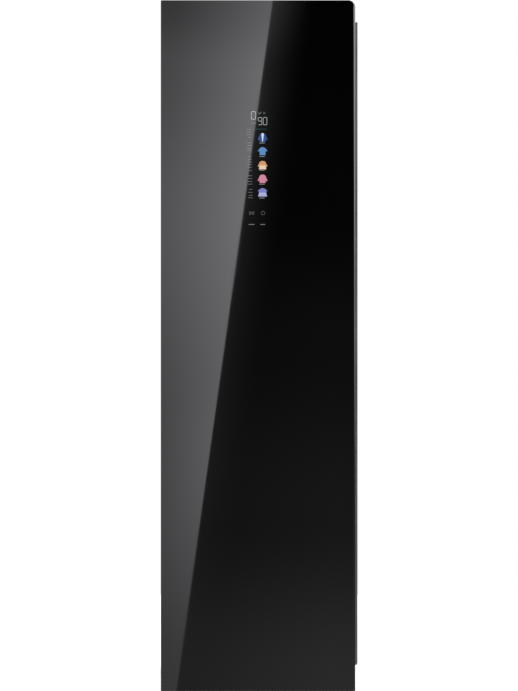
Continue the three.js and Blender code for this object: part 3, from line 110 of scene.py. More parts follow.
def smoothed(name, bm, smooth_angle, recalculated=True):
    """Merged mesh that is smooth but for edges sharper than an angle in degrees."""
    bmesh.ops.remove_doubles(bm, verts=bm.verts, dist=1e-6)
    if recalculated:
        bmesh.ops.recalc_face_normals(bm, faces=bm.faces)
    thing = mesh_object(name, bm)
    thing.data.shade_smooth()
    thing.data.set_sharp_from_angle(angle=math.radians(smooth_angle))
    return thing


def arc(cx, cz, radius, start, end, steps):
    """Points of an arc, angles in degrees."""
    angles = [math.radians(start + (end - start) * i / steps) for i in range(steps + 1)]
    return [(cx + radius * math.cos(a), cz + radius * math.sin(a)) for a in angles]


def rounded_rectangle(x0, x1, z0, z1, radii, steps=10):
    """Outline with a radius for each corner: lower left, lower right, upper right, upper left."""
    if not isinstance(radii, (list, tuple)):
        radii = [radii] * 4
    a, b, c, d = radii
    points = arc(x0 + a, z0 + a, a, 180, 270, steps) + arc(x1 - b, z0 + b, b, 270, 360, steps)
    return points + arc(x1 - c, z1 - c, c, 0, 90, steps) + arc(x0 + d, z1 - d, d, 90, 180, steps)


def place_xz(x, z, depth):
    return (x, depth, z)


def place_xy(x, y, height):
    return (x, y, height)


def place_yz(y, z, side):
    return (side, y, z)


def loft(name, rings, place=place_xz, smooth_angle=35, closed=False):
    """Skin over rings of equal count; each ring is (outline, depth).

    A closed loft's last ring meets its first, as on a tube bent to a frame; others have caps.
    """
    bm = bmesh.new()
    rows = [[bm.verts.new(place(u, v, depth)) for u, v in outline] for outline, depth in rings]
    count = len(rows[0])
    for low, high in zip(rows, rows[1:] + rows[:1] if closed else rows[1:]):
        for i in range(count):
            j = (i + 1) % count
            bm.faces.new((low[i], low[j], high[j], high[i]))
    if not closed:
        bm.faces.new(rows[0])
        bm.faces.new(rows[-1])
    return smoothed(name, bm, smooth_angle)


def circle(cx, cz, radius, steps=32):
    return arc(cx, cz, radius, 0, 360 - 360 / steps, steps - 1)


def turned(name, centre, profile, place=place_xy, steps=40):
    """Piece turned about an axis; the profile is (radius, depth) from one end to the other."""
    rings = [(circle(*centre, radius, steps), depth) for radius, depth in profile]
    return loft(name, rings, place)


def rod(name, start, end, radius, steps=12):
    """Straight round wire with domed ends, along X or Y."""
    along_x = abs(end[0] - start[0]) > abs(end[1] - start[1])
    place = place_yz if along_x else place_xz
    centre = (start[1], start[2]) if along_x else (start[0], start[2])
    low, high = (start[0], end[0]) if along_x else (start[1], end[1])
    dome = ((0.35, 0), (0.8, 0.25), (1, 0.7))  # shares of the radius: width and way from the tip
    profile = [(radius * share, low + radius * run) for share, run in dome]
    profile += [(radius * share, high - radius * run) for share, run in reversed(dome)]
    return turned(name, centre, profile, place, steps)


def applied(thing):
    """The piece with its modifiers made part of its mesh."""
    graph = bpy.context.evaluated_depsgraph_get()
    mesh = bpy.data.meshes.new_from_object(thing.evaluated_get(graph), depsgraph=graph)
    thing.modifiers.clear()
    thing.data = mesh
    return thing


def thin_shapes(name, polygons, front, back):
    """Thin closed plates between two depths, each a list of (x, z)."""
    bm = bmesh.new()
    for points in polygons:
        near = [bm.verts.new((x, front, z)) for x, z in points]
        far = [bm.verts.new((x, back, z)) for x, z in points]
        for i in range(len(points)):
            j = (i + 1) % len(points)
            bm.faces.new((near[i], near[j], far[j], far[i]))
        bm.faces.new(near)
        bm.faces.new(far)
    bmesh.ops.recalc_face_normals(bm, faces=bm.faces)
    return mesh_object(name, bm)


def set_finish(thing, material):
    """Finish of a piece or of a CAD node, in its object's slots."""
    if not thing.data.materials:
        thing.data.materials.append(material)
    for slot in thing.material_slots:
        slot.link = "OBJECT"
        slot.material = material


def stand_for(thing, node):
    """Takes the place of one CAD node, with its body and finish."""
    return fit(thing, FINISH_OF[node], BODY_OF[node], SLOT_OF[node], [node])


def beside(thing, node, material=None):
    """Adds a piece to a CAD node that stays."""
    return fit(thing, material or FINISH_OF[node], BODY_OF[node], SLOT_OF[node])


def fit(thing, material, body, slot, replaced=()):
    """Finishes a piece and fixes it to its body."""
    set_finish(thing, material)
    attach(thing, body)
    if replaced:
        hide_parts(*replaced)
    return thing


# finishes
class Finish:
    """A procedural material on Object coordinates."""

    def __init__(self, name, color, roughness, metallic=0.0, **sockets):
        self.material = bpy.data.materials.new(name)
        self.material.use_nodes = True
        self.nodes = self.material.node_tree.nodes
        self.links = self.material.node_tree.links
        self.shader = self.nodes["Principled BSDF"]
        self.shader.inputs["Base Color"].default_value = (*color, 1)
        self.shader.inputs["Roughness"].default_value = roughness
        self.shader.inputs["Metallic"].default_value = metallic
        for socket, value in sockets.items():
            self.shader.inputs[socket.replace("_", " ")].default_value = value
        self.place = self.nodes.new("ShaderNodeTexCoord").outputs["Object"]
        self.height = None

    def stretched(self, scale):
        mapping = self.nodes.new("ShaderNodeMapping")
        mapping.inputs["Scale"].default_value = scale
        self.links.new(self.place, mapping.inputs["Vector"])
        return mapping.outputs["Vector"]

    def noise(self, scale, detail=2.0, stretch=(1, 1, 1)):
        noise = self.nodes.new("ShaderNodeTexNoise")
        noise.inputs["Scale"].default_value = scale
        noise.inputs["Detail"].default_value = detail
        self.links.new(self.stretched(stretch), noise.inputs["Vector"])
        return noise.outputs["Fac"]

    def cells(self, scale, output="Color"):
        cells = self.nodes.new("ShaderNodeTexVoronoi")
        cells.inputs["Scale"].default_value = scale
        self.links.new(self.place, cells.inputs["Vector"])
        return cells.outputs[output]

    def ranged(self, value, low, high, start=0.3, end=0.7):
        span = self.nodes.new("ShaderNodeMapRange")
        span.inputs["From Min"].default_value = start
        span.inputs["From Max"].default_value = end
        span.inputs["To Min"].default_value = low
        span.inputs["To Max"].default_value = high
        self.links.new(value, span.inputs["Value"])
        return span.outputs["Result"]

    def mottled(self, value, dark, light, start=0.3, end=0.7):
        """Base colour between two tones."""
        mix = self.nodes.new("ShaderNodeMix")
        mix.data_type = "RGBA"
        mix.inputs["A"].default_value = (*dark, 1)
        mix.inputs["B"].default_value = (*light, 1)
        self.links.new(self.ranged(value, 0, 1, start, end), mix.inputs["Factor"])
        self.links.new(mix.outputs["Result"], self.shader.inputs["Base Color"])
        return self

    def uneven(self, value, low, high):
        """Roughness between two values."""
        self.links.new(self.ranged(value, low, high), self.shader.inputs["Roughness"])
        return self

    def grained(self, value, depth_mm, strength=1.0):
        bump = self.nodes.new("ShaderNodeBump")
        bump.inputs["Distance"].default_value = depth_mm * MM
        bump.inputs["Strength"].default_value = strength
        self.links.new(value, bump.inputs["Height"])
        if self.height:
            self.links.new(self.height, bump.inputs["Normal"])
        self.height = bump.outputs["Normal"]
        self.links.new(self.height, self.shader.inputs["Normal"])
        return self


def moulded(name, dark, light, roughness, depth_mm=0.02):
    """Moulded plastic: a fine spark-eroded grain and a slight drift of tone."""
    made = Finish(name, light, roughness)
    made.mottled(made.noise(9), dark, light)
    made.uneven(made.noise(90, 2), roughness - 0.015, roughness + 0.025)
    made.grained(made.noise(1500, 3), depth_mm, 0.5)
    return made.material


def brushed(name, dark, light, roughness, stretch, wear=1.0):
    """Metal with long fine scratches along one way; less wear makes them fainter."""
    made = Finish(name, light, roughness, 1.0)
    lines = made.noise(420, 4, stretch)
    made.mottled(lines, dark, light)
    made.uneven(made.noise(300, 3, stretch), roughness - 0.08 * wear, roughness + 0.1 * wear)
    made.grained(lines, 0.01, 0.35 * wear)
    return made.material


def black_glass():
    made = Finish("black_enamelled_glass", (0.0004, 0.0004, 0.0004), 0.02, IOR=1.5)
    made.uneven(made.noise(5, 4), 0.012, 0.03)
    return made.material


def powder_coat():
    made = Finish("dark_powder_coat", (0.032, 0.033, 0.036), 0.42)
    made.mottled(made.noise(4), (0.031, 0.032, 0.035), (0.034, 0.035, 0.038))
    made.uneven(made.noise(25, 2), 0.4, 0.43)
    made.grained(made.noise(700, 2), 0.03, 0.6)
    return made.material


def zinc():
    made = Finish("zinc_coated_sheet", (0.42, 0.43, 0.45), 0.38, 1.0)
    spangle = made.cells(150)
    made.mottled(spangle, (0.4, 0.41, 0.43), (0.44, 0.45, 0.47), 0, 1)
    made.uneven(spangle, 0.36, 0.41)
    made.grained(made.noise(400, 3), 0.01, 0.4)
    return made.material


def rubber():
    made = Finish("black_rubber", (0.02, 0.02, 0.021), 0.7)
    made.mottled(made.noise(40), (0.016, 0.016, 0.017), (0.026, 0.026, 0.027))
    made.grained(made.noise(900, 3), 0.02, 0.6)
    return made.material


def tank_plastic():
    tint = (0.66, 0.72, 0.77)
    made = Finish("smoked_clear_plastic", tint, 0.12, IOR=1.49, Transmission_Weight=0.85)
    made.uneven(made.noise(20, 2), 0.1, 0.13)
    return made.material


def lens_plastic():
    made = Finish("milky_lens", (0.85, 0.87, 0.9), 0.3, Emission_Strength=0.7)
    made.shader.inputs["Emission Color"].default_value = (0.95, 0.97, 1.0, 1)
    made.grained(made.noise(500), 0.02, 0.5)
    return made.material


def foam_core():
    made = Finish("door_filling", (0.72, 0.7, 0.62), 0.9)
    made.mottled(made.cells(90, "Distance"), (0.6, 0.58, 0.5), (0.78, 0.76, 0.68), 0.0, 0.8)
    made.grained(made.cells(220, "Distance"), 0.3, 0.7)
    return made.material


def painted_iron():
    made = Finish("black_compressor_paint", (0.012, 0.012, 0.013), 0.3)
    made.uneven(made.noise(30, 3), 0.22, 0.4)
    made.grained(made.noise(250, 3), 0.05, 0.6)
    return made.material


def copper():
    made = Finish("bare_copper", (0.72, 0.32, 0.18), 0.28, 1.0)
    made.mottled(made.noise(35, 4), (0.5, 0.2, 0.11), (0.78, 0.38, 0.23))
    made.uneven(made.noise(60, 3), 0.2, 0.42)
    return made.material


def lit(name, color, strength):
    """A mark that glows behind the glass, whose face it shares."""
    made = Finish(name, tuple(c * 0.02 for c in color), 0.04, Emission_Strength=strength)
    made.shader.inputs["Emission Color"].default_value = (*color, 1)
    glow = made.ranged(made.noise(800, 1), 0.9, 1.0)
    tint = made.nodes.new("ShaderNodeMix")
    tint.data_type = "RGBA"
    tint.inputs["A"].default_value = (0, 0, 0, 1)
    tint.inputs["B"].default_value = (*color, 1)
    made.links.new(glow, tint.inputs["Factor"])
    made.links.new(tint.outputs["Result"], made.shader.inputs["Emission Color"])
    return made.material


ALONG_X, ALONG_Y, ALONG_Z = (0.02, 1, 1), (1, 0.02, 1), (1, 1, 0.02)
GLASS = black_glass()
GRIP_METAL = brushed(
    "dark_anodised_aluminium", (0.122, 0.122, 0.124), (0.165, 0.165, 0.168), 0.38, ALONG_Z
)
RAIL_METAL = brushed(
    "anodised_rail", (0.44, 0.45, 0.46), (0.46, 0.47, 0.48), 0.34, ALONG_X, wear=0.2
)
BLACK_PLASTIC = moulded("black_moulding", (0.014, 0.014, 0.015), (0.022, 0.022, 0.024), 0.48)
NET_PLASTIC = moulded("net_strands", (0.2, 0.205, 0.21), (0.24, 0.245, 0.25), 0.45)
GREY_PLASTIC = moulded("grey_moulding", (0.09, 0.094, 0.1), (0.115, 0.12, 0.127), 0.5)
WHITE_PLASTIC = moulded("white_moulding", (0.735, 0.745, 0.75), (0.755, 0.765, 0.77), 0.36)
FRAME_PLASTIC = moulded("dark_front_moulding", (0.03, 0.031, 0.034), (0.038, 0.039, 0.042), 0.4)
BOARD_PLASTIC = moulded("pale_box_moulding", (0.55, 0.56, 0.55), (0.62, 0.63, 0.62), 0.5)
CASE_PAINT = powder_coat()
ZINC = zinc()
WIRE_METAL = brushed("bright_wire", (0.6, 0.61, 0.62), (0.75, 0.76, 0.77), 0.18, ALONG_Y)
ROD_METAL = brushed("ground_rod", (0.62, 0.63, 0.64), (0.74, 0.75, 0.76), 0.2, ALONG_X)
FOOT_METAL = brushed("blackened_steel", (0.05, 0.05, 0.052), (0.09, 0.09, 0.092), 0.4, ALONG_Z)
FIN_METAL = brushed("fin_stock", (0.6, 0.62, 0.63), (0.75, 0.77, 0.78), 0.3, ALONG_Z)
RUBBER = rubber()
TANK_PLASTIC = tank_plastic()
LENS_PLASTIC = lens_plastic()
CORE = foam_core()
IRON = painted_iron()
COPPER = copper()

NODE_FINISHES = {
    GLASS: "door_glass",
    GRIP_METAL: "grip_profile",
    RAIL_METAL: "hanger_rail",
    BLACK_PLASTIC: "door_frame display_module exchanger_housing condensate_tray blower_housing",
    GREY_PLASTIC: "upper_hinge_bush lower_hinge_bush air_inlet_grille air_outlet_grille "
    "steam_nozzle ceiling_cover rail_carriage tank_bay supply_tank_lid drain_tank_lid "
    "intake_duct lint_filter blower_impeller",
    WHITE_PLASTIC: "door_liner chamber_liner crank_disc steam_generator supply_pump drain_pump",
    FRAME_PLASTIC: "front_frame",
    BOARD_PLASTIC: "control_box",
    CASE_PAINT: "side_panel_left side_panel_right top_cover",
    ZINC: "rear_panel base_frame upper_hinge_plate lower_hinge_plate drive_frame drive_motor "
    "blower_motor",
    WIRE_METAL: "wire_shelf",
    ROD_METAL: "guide_rod_front guide_rod_rear upper_hinge_pin lower_hinge_pin",
    FOOT_METAL: "foot_front_left foot_rear_left foot_front_right foot_rear_right",
    FIN_METAL: "evaporator condenser",
    RUBBER: "door_gasket steam_hose cord_gland",
    TANK_PLASTIC: "supply_tank drain_tank",
    LENS_PLASTIC: "light_lens",
    CORE: "door_core",
    IRON: "compressor",
    COPPER: "suction_pipe discharge_pipe",
}
FINISH_OF = {
    name: material for material, names in NODE_FINISHES.items() for name in names.split()
}
for name, material in FINISH_OF.items():
    set_finish(nodes[name], material)


# door
def inset_outline(box, inset, radii, steps=10):
    """Front outline of a box, drawn in on all sides."""
    low, high = box
    x0, x1, z0, z1 = low.x + inset, high.x - inset, low.z + inset, high.z - inset
    smallest = 0.2 * MM
    return rounded_rectangle(x0, x1, z0, z1, [max(r - inset, smallest) for r in radii], steps)


def glass_pane():
    """Black glass with fine ground edges and a bevel in two slopes along the opening side."""
    low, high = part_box("door_glass")
    radii = (1.5 * MM, 1.5 * MM, 19 * MM, 3 * MM)
    # inset of the outline, depth below the face and cut along the opening side, in millimetres
    cuts = (
        (0.2, 0, 5), (0.05, 0.08, 4.86), (0, 0.2, 4.65), (0, 1.45, 2.48), (0, 1.5, 2.42),
        (0, 3.66, 0.2), (0, 3.8, 0), (0.2, 4, 0.2),
    )
    rings = []
    for inset, depth, bevel in cuts:
        points = inset_outline((low, high), inset * MM, radii)
        limit = high.x - bevel * MM
        rings.append(([(min(x, limit), z) for x, z in points], low.y + depth * MM))
    pane = loft("glass_pane", rings, smooth_angle=12)
    return fit(pane, GLASS, "door", "black_glass", ["door_glass"])


def grip_bar():
    """Slim grip along the opening side, with a rounded lip and softened ends."""
    low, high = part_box("grip_profile")
    x0, x1, y0, y1 = low.x, high.x, low.y, high.y
    web, lip, root, edge = 3 * MM, 3 * MM, 1.2 * MM, 0.5 * MM
    front_chamfer, rear_chamfer = 0.3 * MM, 0.4 * MM
    lip_end, lip_back = y0 + lip + 0.3 * root, y0 + lip + 1.2 * root
    section = [(x0, y1), (x0, y0 + front_chamfer), (x0 + front_chamfer, y0)]
    section += arc(x1 - edge, y0 + edge, edge, 270, 360, 6)
    section += arc(x1 - root, lip_end, root, 0, 90, 6)
    section += arc(x0 + web + root, lip_back + root, root, 270, 180, 6)
    section += [(x0 + web, y1 - rear_chamfer), (x0 + web - rear_chamfer, y1)]

    def cut_back(by):
        return [(min(x, x1 - by), y) for x, y in section]

    foot = 5 * MM  # radius of the lower end's corner
    rings = []
    for share in (1, 0.75, 0.45, 0.2, 0):
        by = foot * (1 - math.sqrt(max(0.0, 1 - share * share)))
        rings.append((cut_back(by), low.z + foot * (1 - share)))
    start, stations = low.z + foot, 6
    rings += [(section, start + (high.z - start) * i / stations) for i in range(1, stations)]
    end_chamfer = 0.5 * MM
    rings += [(section, high.z - 0.6 * MM), (cut_back(end_chamfer), high.z)]
    bar = loft("grip_bar", rings, place_xy, smooth_angle=40)
    return fit(bar, GRIP_METAL, "door", "anodised_grip", ["grip_profile"])


def gasket():
    """Magnetic gasket: a flange, a folded neck and a flat bulb that holds the magnet."""
    low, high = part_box("door_gasket")
    corner = 14 * MM
    # inset from the outer edge and rise from the door's skin, in millimetres
    section = (
        (0, 0), (0, 0.8), (1.6, 1.3), (0.7, 1.9), (1.6, 2.5), (0.3, 3), (0.3, 4.7), (0.9, 5.4),
        (12.1, 5.4), (12.7, 4.7), (12.7, 3), (11.4, 2.5), (12.3, 1.9), (11.4, 1.3), (13, 0.8),
        (13, 0),
    )
    rings = []
    for inset, rise in section:
        outline = inset_outline((low, high), inset * MM, [corner] * 4, 8)
        rings.append((outline, low.y + rise * MM))
    stand_for(loft("magnetic_gasket", rings, smooth_angle=30, closed=True), "door_gasket")


glass_pane()
grip_bar()
gasket()


# Repeats made with Geometry Nodes
def rows_of_motifs():
    """Tree that sets a motif out in columns and rows, each with its own step."""
    tree = bpy.data.node_groups.new("rows_of_motifs", "GeometryNodeTree")
    sockets = (
        ("Geometry", "Geometry"), ("Motif", "Object"), ("Start", "Vector"),
        ("Columns", "Int"), ("Column step", "Vector"), ("Rows", "Int"), ("Row step", "Vector"),
        ("Finish", "Material"),
    )
    for name, kind in sockets:
        tree.interface.new_socket(name, in_out="INPUT", socket_type=f"NodeSocket{kind}")
    tree.interface.new_socket("Geometry", in_out="OUTPUT", socket_type="NodeSocketGeometry")
    add, link = tree.nodes.new, tree.links.new
    given, result = add("NodeGroupInput"), add("NodeGroupOutput")

    def line(count, step, start=None):
        node = add("GeometryNodeMeshLine")
        node.mode = "OFFSET"
        link(given.outputs[count], node.inputs["Count"])
        link(given.outputs[step], node.inputs["Offset"])
        if start:
            link(given.outputs[start], node.inputs["Start Location"])
        return node.outputs["Mesh"]

    def spread_on(points, instance):
        node, real = add("GeometryNodeInstanceOnPoints"), add("GeometryNodeRealizeInstances")
        link(points, node.inputs["Points"])
        link(instance, node.inputs["Instance"])
        link(node.outputs["Instances"], real.inputs["Geometry"])
        return real.outputs["Geometry"]

    motif = add("GeometryNodeObjectInfo")
    link(given.outputs["Motif"], motif.inputs["Object"])
    places = spread_on(line("Columns", "Column step", "Start"), line("Rows", "Row step"))
    pieces = spread_on(places, motif.outputs["Geometry"])
    finish = add("GeometryNodeSetMaterial")
    link(pieces, finish.inputs["Geometry"])
    link(given.outputs["Finish"], finish.inputs["Material"])
    link(finish.outputs["Geometry"], result.inputs["Geometry"])
    return tree


ROWS_OF_MOTIFS = rows_of_motifs()


ONE = (1, (0, 0, 0))


def repeated(name, motif, node, start, columns=ONE, rows=ONE, material=None):
    """One mesh of a motif in columns and rows, on the body of a CAD node.

    Columns and rows are (count, step); start and steps are in millimetres.
    """
    holder = add_object(name, bpy.data.meshes.new(name))
    modifier = holder.modifiers.new("rows", "NODES")
    modifier.node_group = ROWS_OF_MOTIFS
    material = material or FINISH_OF[node]
    values = {
        "Motif": motif,
        "Start": tuple(v * MM for v in start),
        "Columns": columns[0],
        "Column step": tuple(v * MM for v in columns[1]),
        "Rows": rows[0],
        "Row step": tuple(v * MM for v in rows[1]),
        "Finish": material,
    }
    for socket in ROWS_OF_MOTIFS.interface.items_tree:
        if socket.name in values:
            modifier[socket.identifier] = values[socket.name]
    applied(holder)
    bpy.data.objects.remove(motif)
    return beside(holder, node, material)


def screw_head(place, diameter, rise, sign=1):
    """Pan head with a six-lobed socket; the head rises along the sign of its axis."""
    radius, height = diameter / 2 * MM, sign * rise * MM
    steps, lobes = 24, 6
    socket = []
    for i in range(steps):
        angle = math.tau * i / steps
        lobe = radius * (0.42 + 0.07 * math.cos(lobes * angle))
        socket.append((lobe * math.cos(angle), lobe * math.sin(angle)))
    dome = ((1, 0), (1, 0.35), (0.93, 0.75), (0.78, 1))  # shares of the radius and the height
    rings = [(circle(0, 0, radius * share, steps), height * level) for share, level in dome]
    rings += [(socket, height), (socket, height * 0.3)]
    return loft("screw_head", rings, place, smooth_angle=40)


def bar_motif(size):
    """Small bar about the origin."""
    a, b, c = (v * MM / 2 for v in size)
    outline = [(-a, -b), (a, -b), (a, b), (-a, b)]
    return loft("bar_motif", [(outline, -c), (outline, c)], place_xy, smooth_angle=20)


def case_screws():
    """Heads on the rear panel, the hinge plates and the ceiling cover; in millimetres."""
    rear_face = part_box("rear_panel")[1].y / MM
    diameter, rise = 8, 0.25
    from_middle, first, pitch, count = 249, 44, 222, 9
    repeated("rear_side_screws", screw_head(place_xz, diameter, rise), "rear_panel",
             (-from_middle, rear_face, first), (2, (2 * from_middle, 0, 0)),
             (count, (0, 0, pitch)), ROD_METAL)
    pitch, lowest, highest = 156, 33, 1830
    repeated("rear_end_screws", screw_head(place_xz, diameter, rise), "rear_panel",
             (-pitch, rear_face, lowest), (3, (pitch, 0, 0)),
             (2, (0, 0, highest - lowest)), ROD_METAL)
    diameter, rise = 9, 2.2
    corner, across, along = (-240, -233), 31, 28
    for node, sign in (("upper_hinge_plate", 1), ("lower_hinge_plate", -1)):
        low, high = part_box(node)
        face = (high.z if sign > 0 else low.z) / MM
        repeated(f"{node}_screws", screw_head(place_xy, diameter, rise, sign), node,
                 (*corner, face), (2, (across, 0, 0)), (2, (0, along, 0)), ROD_METAL)
    diameter, rise, inset = 7, 1.4, 14
    low, high = (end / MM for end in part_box("ceiling_cover"))
    across, along = high.x - low.x - 2 * inset, high.y - low.y - 2 * inset
    repeated("ceiling_cover_screws", screw_head(place_xy, diameter, rise, -1), "ceiling_cover",
             (low.x + inset, low.y + inset, low.z), (2, (across, 0, 0)), (2, (0, along, 0)),
             ROD_METAL)


def louvre_lips():
    """Lips pressed inwards from the upper edge of each louvre; in millimetres."""
    # outwards and upwards from the inner face and the middle of the louvre
    section = [
        (-0.2, 3.3), (-0.2, 4.3), (-2.5, 4), (-8.6, -1.4), (-8.9, -2.3), (-8, -2.4), (-2.6, 2.9),
    ]
    half, end, end_share = 48.5, 3, 0.7  # the lip is shallower at its ends
    stations = ((-half, end_share), (-half + end, 1), (half - end, 1), (half, end_share))
    rings = []
    for x, share in stations:
        rings.append(([(y * share * MM, z * MM) for y, z in section], x * MM))
    motif = loft("louvre_lip", rings, place_yz, smooth_angle=30)
    sheet, lowest, across, upwards = 1, 81.5, 116, 27
    inner_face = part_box("rear_panel")[1].y / MM - sheet
    repeated("louvre_lips", motif, "rear_panel", (-across, inner_face, lowest),
             (3, (across, 0, 0)), (8, (0, 0, upwards)))


def lint_net():
    """Crossed strands inside the filter's rim; in millimetres."""
    low, high = (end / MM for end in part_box("lint_filter"))
    rim, pitch, strand, rise, crossing = 10, 2.2, 0.35, 8.5, 0.2
    width, depth = high.x - low.x - 2 * rim, high.y - low.y - 2 * rim
    middle_y, z = (low.y + high.y) / 2, low.z + rise
    count = int(width / pitch)
    repeated("net_lengthwise", bar_motif((strand, depth, strand)), "lint_filter",
             (-(count - 1) * pitch / 2, middle_y, z), (count, (pitch, 0, 0)),
             material=NET_PLASTIC)
    count = int(depth / pitch)
    repeated("net_crosswise", bar_motif((width, strand, strand)), "lint_filter",
             (0, middle_y - (count - 1) * pitch / 2, z + crossing), (count, (0, pitch, 0)),
             material=NET_PLASTIC)


def shelf():
    """Wire shelf: a bent rim, round wires front to back and two bars under them."""
    low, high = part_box("wire_shelf")
    radius, corner, steps = 2.5 * MM, 15 * MM, 12
    z = low.z + radius
    rings = []
    for i in range(steps):
        angle = math.tau * i / steps
        inset = radius - radius * math.cos(angle)
        x0, x1, y0, y1 = low.x + inset, high.x - inset, low.y + inset, high.y - inset
        outline = rounded_rectangle(x0, x1, y0, y1, corner - inset, 8)
        rings.append((outline, z + radius * math.sin(angle)))
    stand_for(loft("shelf_rim", rings, place_xy, 60, closed=True), "wire_shelf")
    count, wire_radius, wire_rise = 11, 2 * MM, 0.3 * MM
    step = (high.x - low.x) / MM / (count + 1)
    wire = rod("wire", (0, low.y + radius, 0), (0, high.y - radius, 0), wire_radius)
    repeated("shelf_wires", wire, "wire_shelf",
             (-(count - 1) / 2 * step, 0, (z + wire_rise) / MM), (count, (step, 0, 0)))
    count, bar_radius = 2, 1.8 * MM
    step = (high.y - low.y) / MM / (count + 1)
    middle_y = (low.y + high.y) / 2 / MM
    bar = rod("bar", (low.x + radius, 0, 0), (high.x - radius, 0, 0), bar_radius)
    repeated("shelf_bars", bar, "wire_shelf",
             (0, middle_y - (count - 1) / 2 * step, (low.z + bar_radius) / MM),
             rows=(count, (0, step, 0)))


def tank_marks():
    """Raised level marks on each tank's front, and a finger bar on its cap; in millimetres."""
    # name, size, shift to the side, lowest place and count
    kinds = (("long", (14, 0.6, 1.2), 0, 84, 4), ("short", (8, 0.6, 0.9), 3, 100, 3))
    from_side, pitch = 26, 32
    half_length, half_width, from_front = 17, 4, 60
    for node in ("supply_tank", "drain_tank"):
        low, high = (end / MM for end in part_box(node))
        for kind, size, shift, lowest, count in kinds:
            repeated(f"{node}_{kind}_marks", bar_motif(size), node,
                     (high.x - from_side + shift, low.y, lowest), rows=(count, (0, 0, pitch)),
                     material=WHITE_PLASTIC)
        lid = f"{node}_lid"
        x, y, top = (low.x + high.x) / 2, low.y + from_front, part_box(lid)[1].z
        rings = []
        for inset, rise in ((0, -0.6), (0, 0.8), (0.5, 1.7), (1.5, 2.2)):
            a, b = half_length - inset, half_width - inset
            sides = (v * MM for v in (x - a, x + a, y - b, y + b, b))
            rings.append((rounded_rectangle(*sides, 6), top + rise * MM))
        beside(loft(f"{node}_cap_bar", rings, place_xy, smooth_angle=40), lid)


def levelling_feet():
    """Moulded pad, hexagon and threaded stem, each foot on its own body."""
    steps, corner, stem, thread, pitch = 48, 13 * MM, 8 * MM, 1 * MM, 2 * MM
    hexagon_z = (12 * MM, 18 * MM)
    # inset from the pad's rim and height over the floor, in millimetres
    pad_profile = ((2.5, 0), (0.7, 0.7), (0, 2.5), (0, 7), (1, 9), (5, 11), (12, 12))
    flat = math.pi / 6  # half the angle of one of the hexagon's sides
    for node in ("foot_front_left", "foot_front_right", "foot_rear_left", "foot_rear_right"):
        low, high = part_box(node)
        x, y, pad = (low.x + high.x) / 2, (low.y + high.y) / 2, (high.x - low.x) / 2
        rings = [(circle(x, y, pad - inset * MM, steps), z * MM) for inset, z in pad_profile]
        hexagon = []
        for i in range(steps):
            angle = math.tau * i / steps
            turn = (angle + flat) % (2 * flat) - flat
            reach = corner * math.cos(flat) / math.cos(turn)
            hexagon.append((x + reach * math.cos(angle), y + reach * math.sin(angle)))
        rings += [(hexagon, z) for z in hexagon_z]
        root, crest = circle(x, y, stem - thread, steps), circle(x, y, stem, steps)
        z = hexagon_z[1]
        while z < high.z - pitch:
            rings += [(root, z), (crest, z + pitch / 2)]
            z += pitch
        rings += [(root, z), (root, high.z)]
        stand_for(loft(f"{node}_screw", rings, place_xy, smooth_angle=25), node)


def gland_sleeve():
    """Rubber sleeve of the cord outlet, a ring of even section."""
    low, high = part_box("cord_gland")
    centre = ((low.x + high.x) / 2, (low.z + high.z) / 2)
    # radius and depth below the outer end, in millimetres
    profile = (
        (13, 3.2), (13, 1.4), (12.4, 0.5), (11, 0), (7.4, 0),
        (5.6, 0.8), (4, 2.4), (4, 7.3), (9.4, 7.3), (9.4, 3.2),
    )
    rings = [(circle(*centre, r * MM, 40), high.y - depth * MM) for r, depth in profile]
    stand_for(loft("gland_sleeve", rings, smooth_angle=30, closed=True), "cord_gland")


case_screws()
louvre_lips()
lint_net()
shelf()
tank_marks()
levelling_feet()
gland_sleeve()


# Copies of the visible solids with their sharp edges rounded off; widths in millimetres
SOFT_EDGES = {
    "top_cover": 0.8, "side_panel_left": 0.6, "side_panel_right": 0.6, "front_frame": 0.8,
    "door_frame": 0.8, "door_liner": 0.6, "ceiling_cover": 0.8, "air_inlet_grille": 0.4,
    "air_outlet_grille": 0.4, "steam_nozzle": 0.5, "supply_tank": 0.8, "drain_tank": 0.8,
    "supply_tank_lid": 0.5, "drain_tank_lid": 0.5, "lint_filter": 0.3, "hanger_rail": 0.5,
    "upper_hinge_plate": 0.4, "lower_hinge_plate": 0.4, "light_lens": 0.5, "tank_bay": 0.5,
    "chamber_liner": 0.5, "base_frame": 0.4, "rail_carriage": 0.3,
}


def soft_edges(node, width):
    """A merged copy of a CAD node with rounded edges takes its place."""
    merge_distance, flat_angle, smooth_angle, sharp_angle = 2e-6, 0.5, 34, 50
    bm = bmesh.new()
    bm.from_mesh(nodes[node].data)
    bmesh.ops.remove_doubles(bm, verts=bm.verts, dist=merge_distance)
    bmesh.ops.dissolve_limit(
        bm, angle_limit=math.radians(flat_angle), verts=bm.verts, edges=bm.edges
    )
    copy = smoothed(f"{node}_soft", bm, smooth_angle, recalculated=False)
    bevel = copy.modifiers.new("soft_edges", "BEVEL")
    bevel.width = width * MM
    bevel.segments = 2
    bevel.limit_method = "ANGLE"
    bevel.angle_limit = math.radians(sharp_angle)
    bevel.use_clamp_overlap = True
    bevel.harden_normals = True
    stand_for(applied(copy), node)


for node, width in SOFT_EDGES.items():
    soft_edges(node, width)


# display behind the glass, laid out in photograph pixels
MARK_RISE = 0.06 * MM  # the marks share the glass's face, and this keeps the two surfaces apart

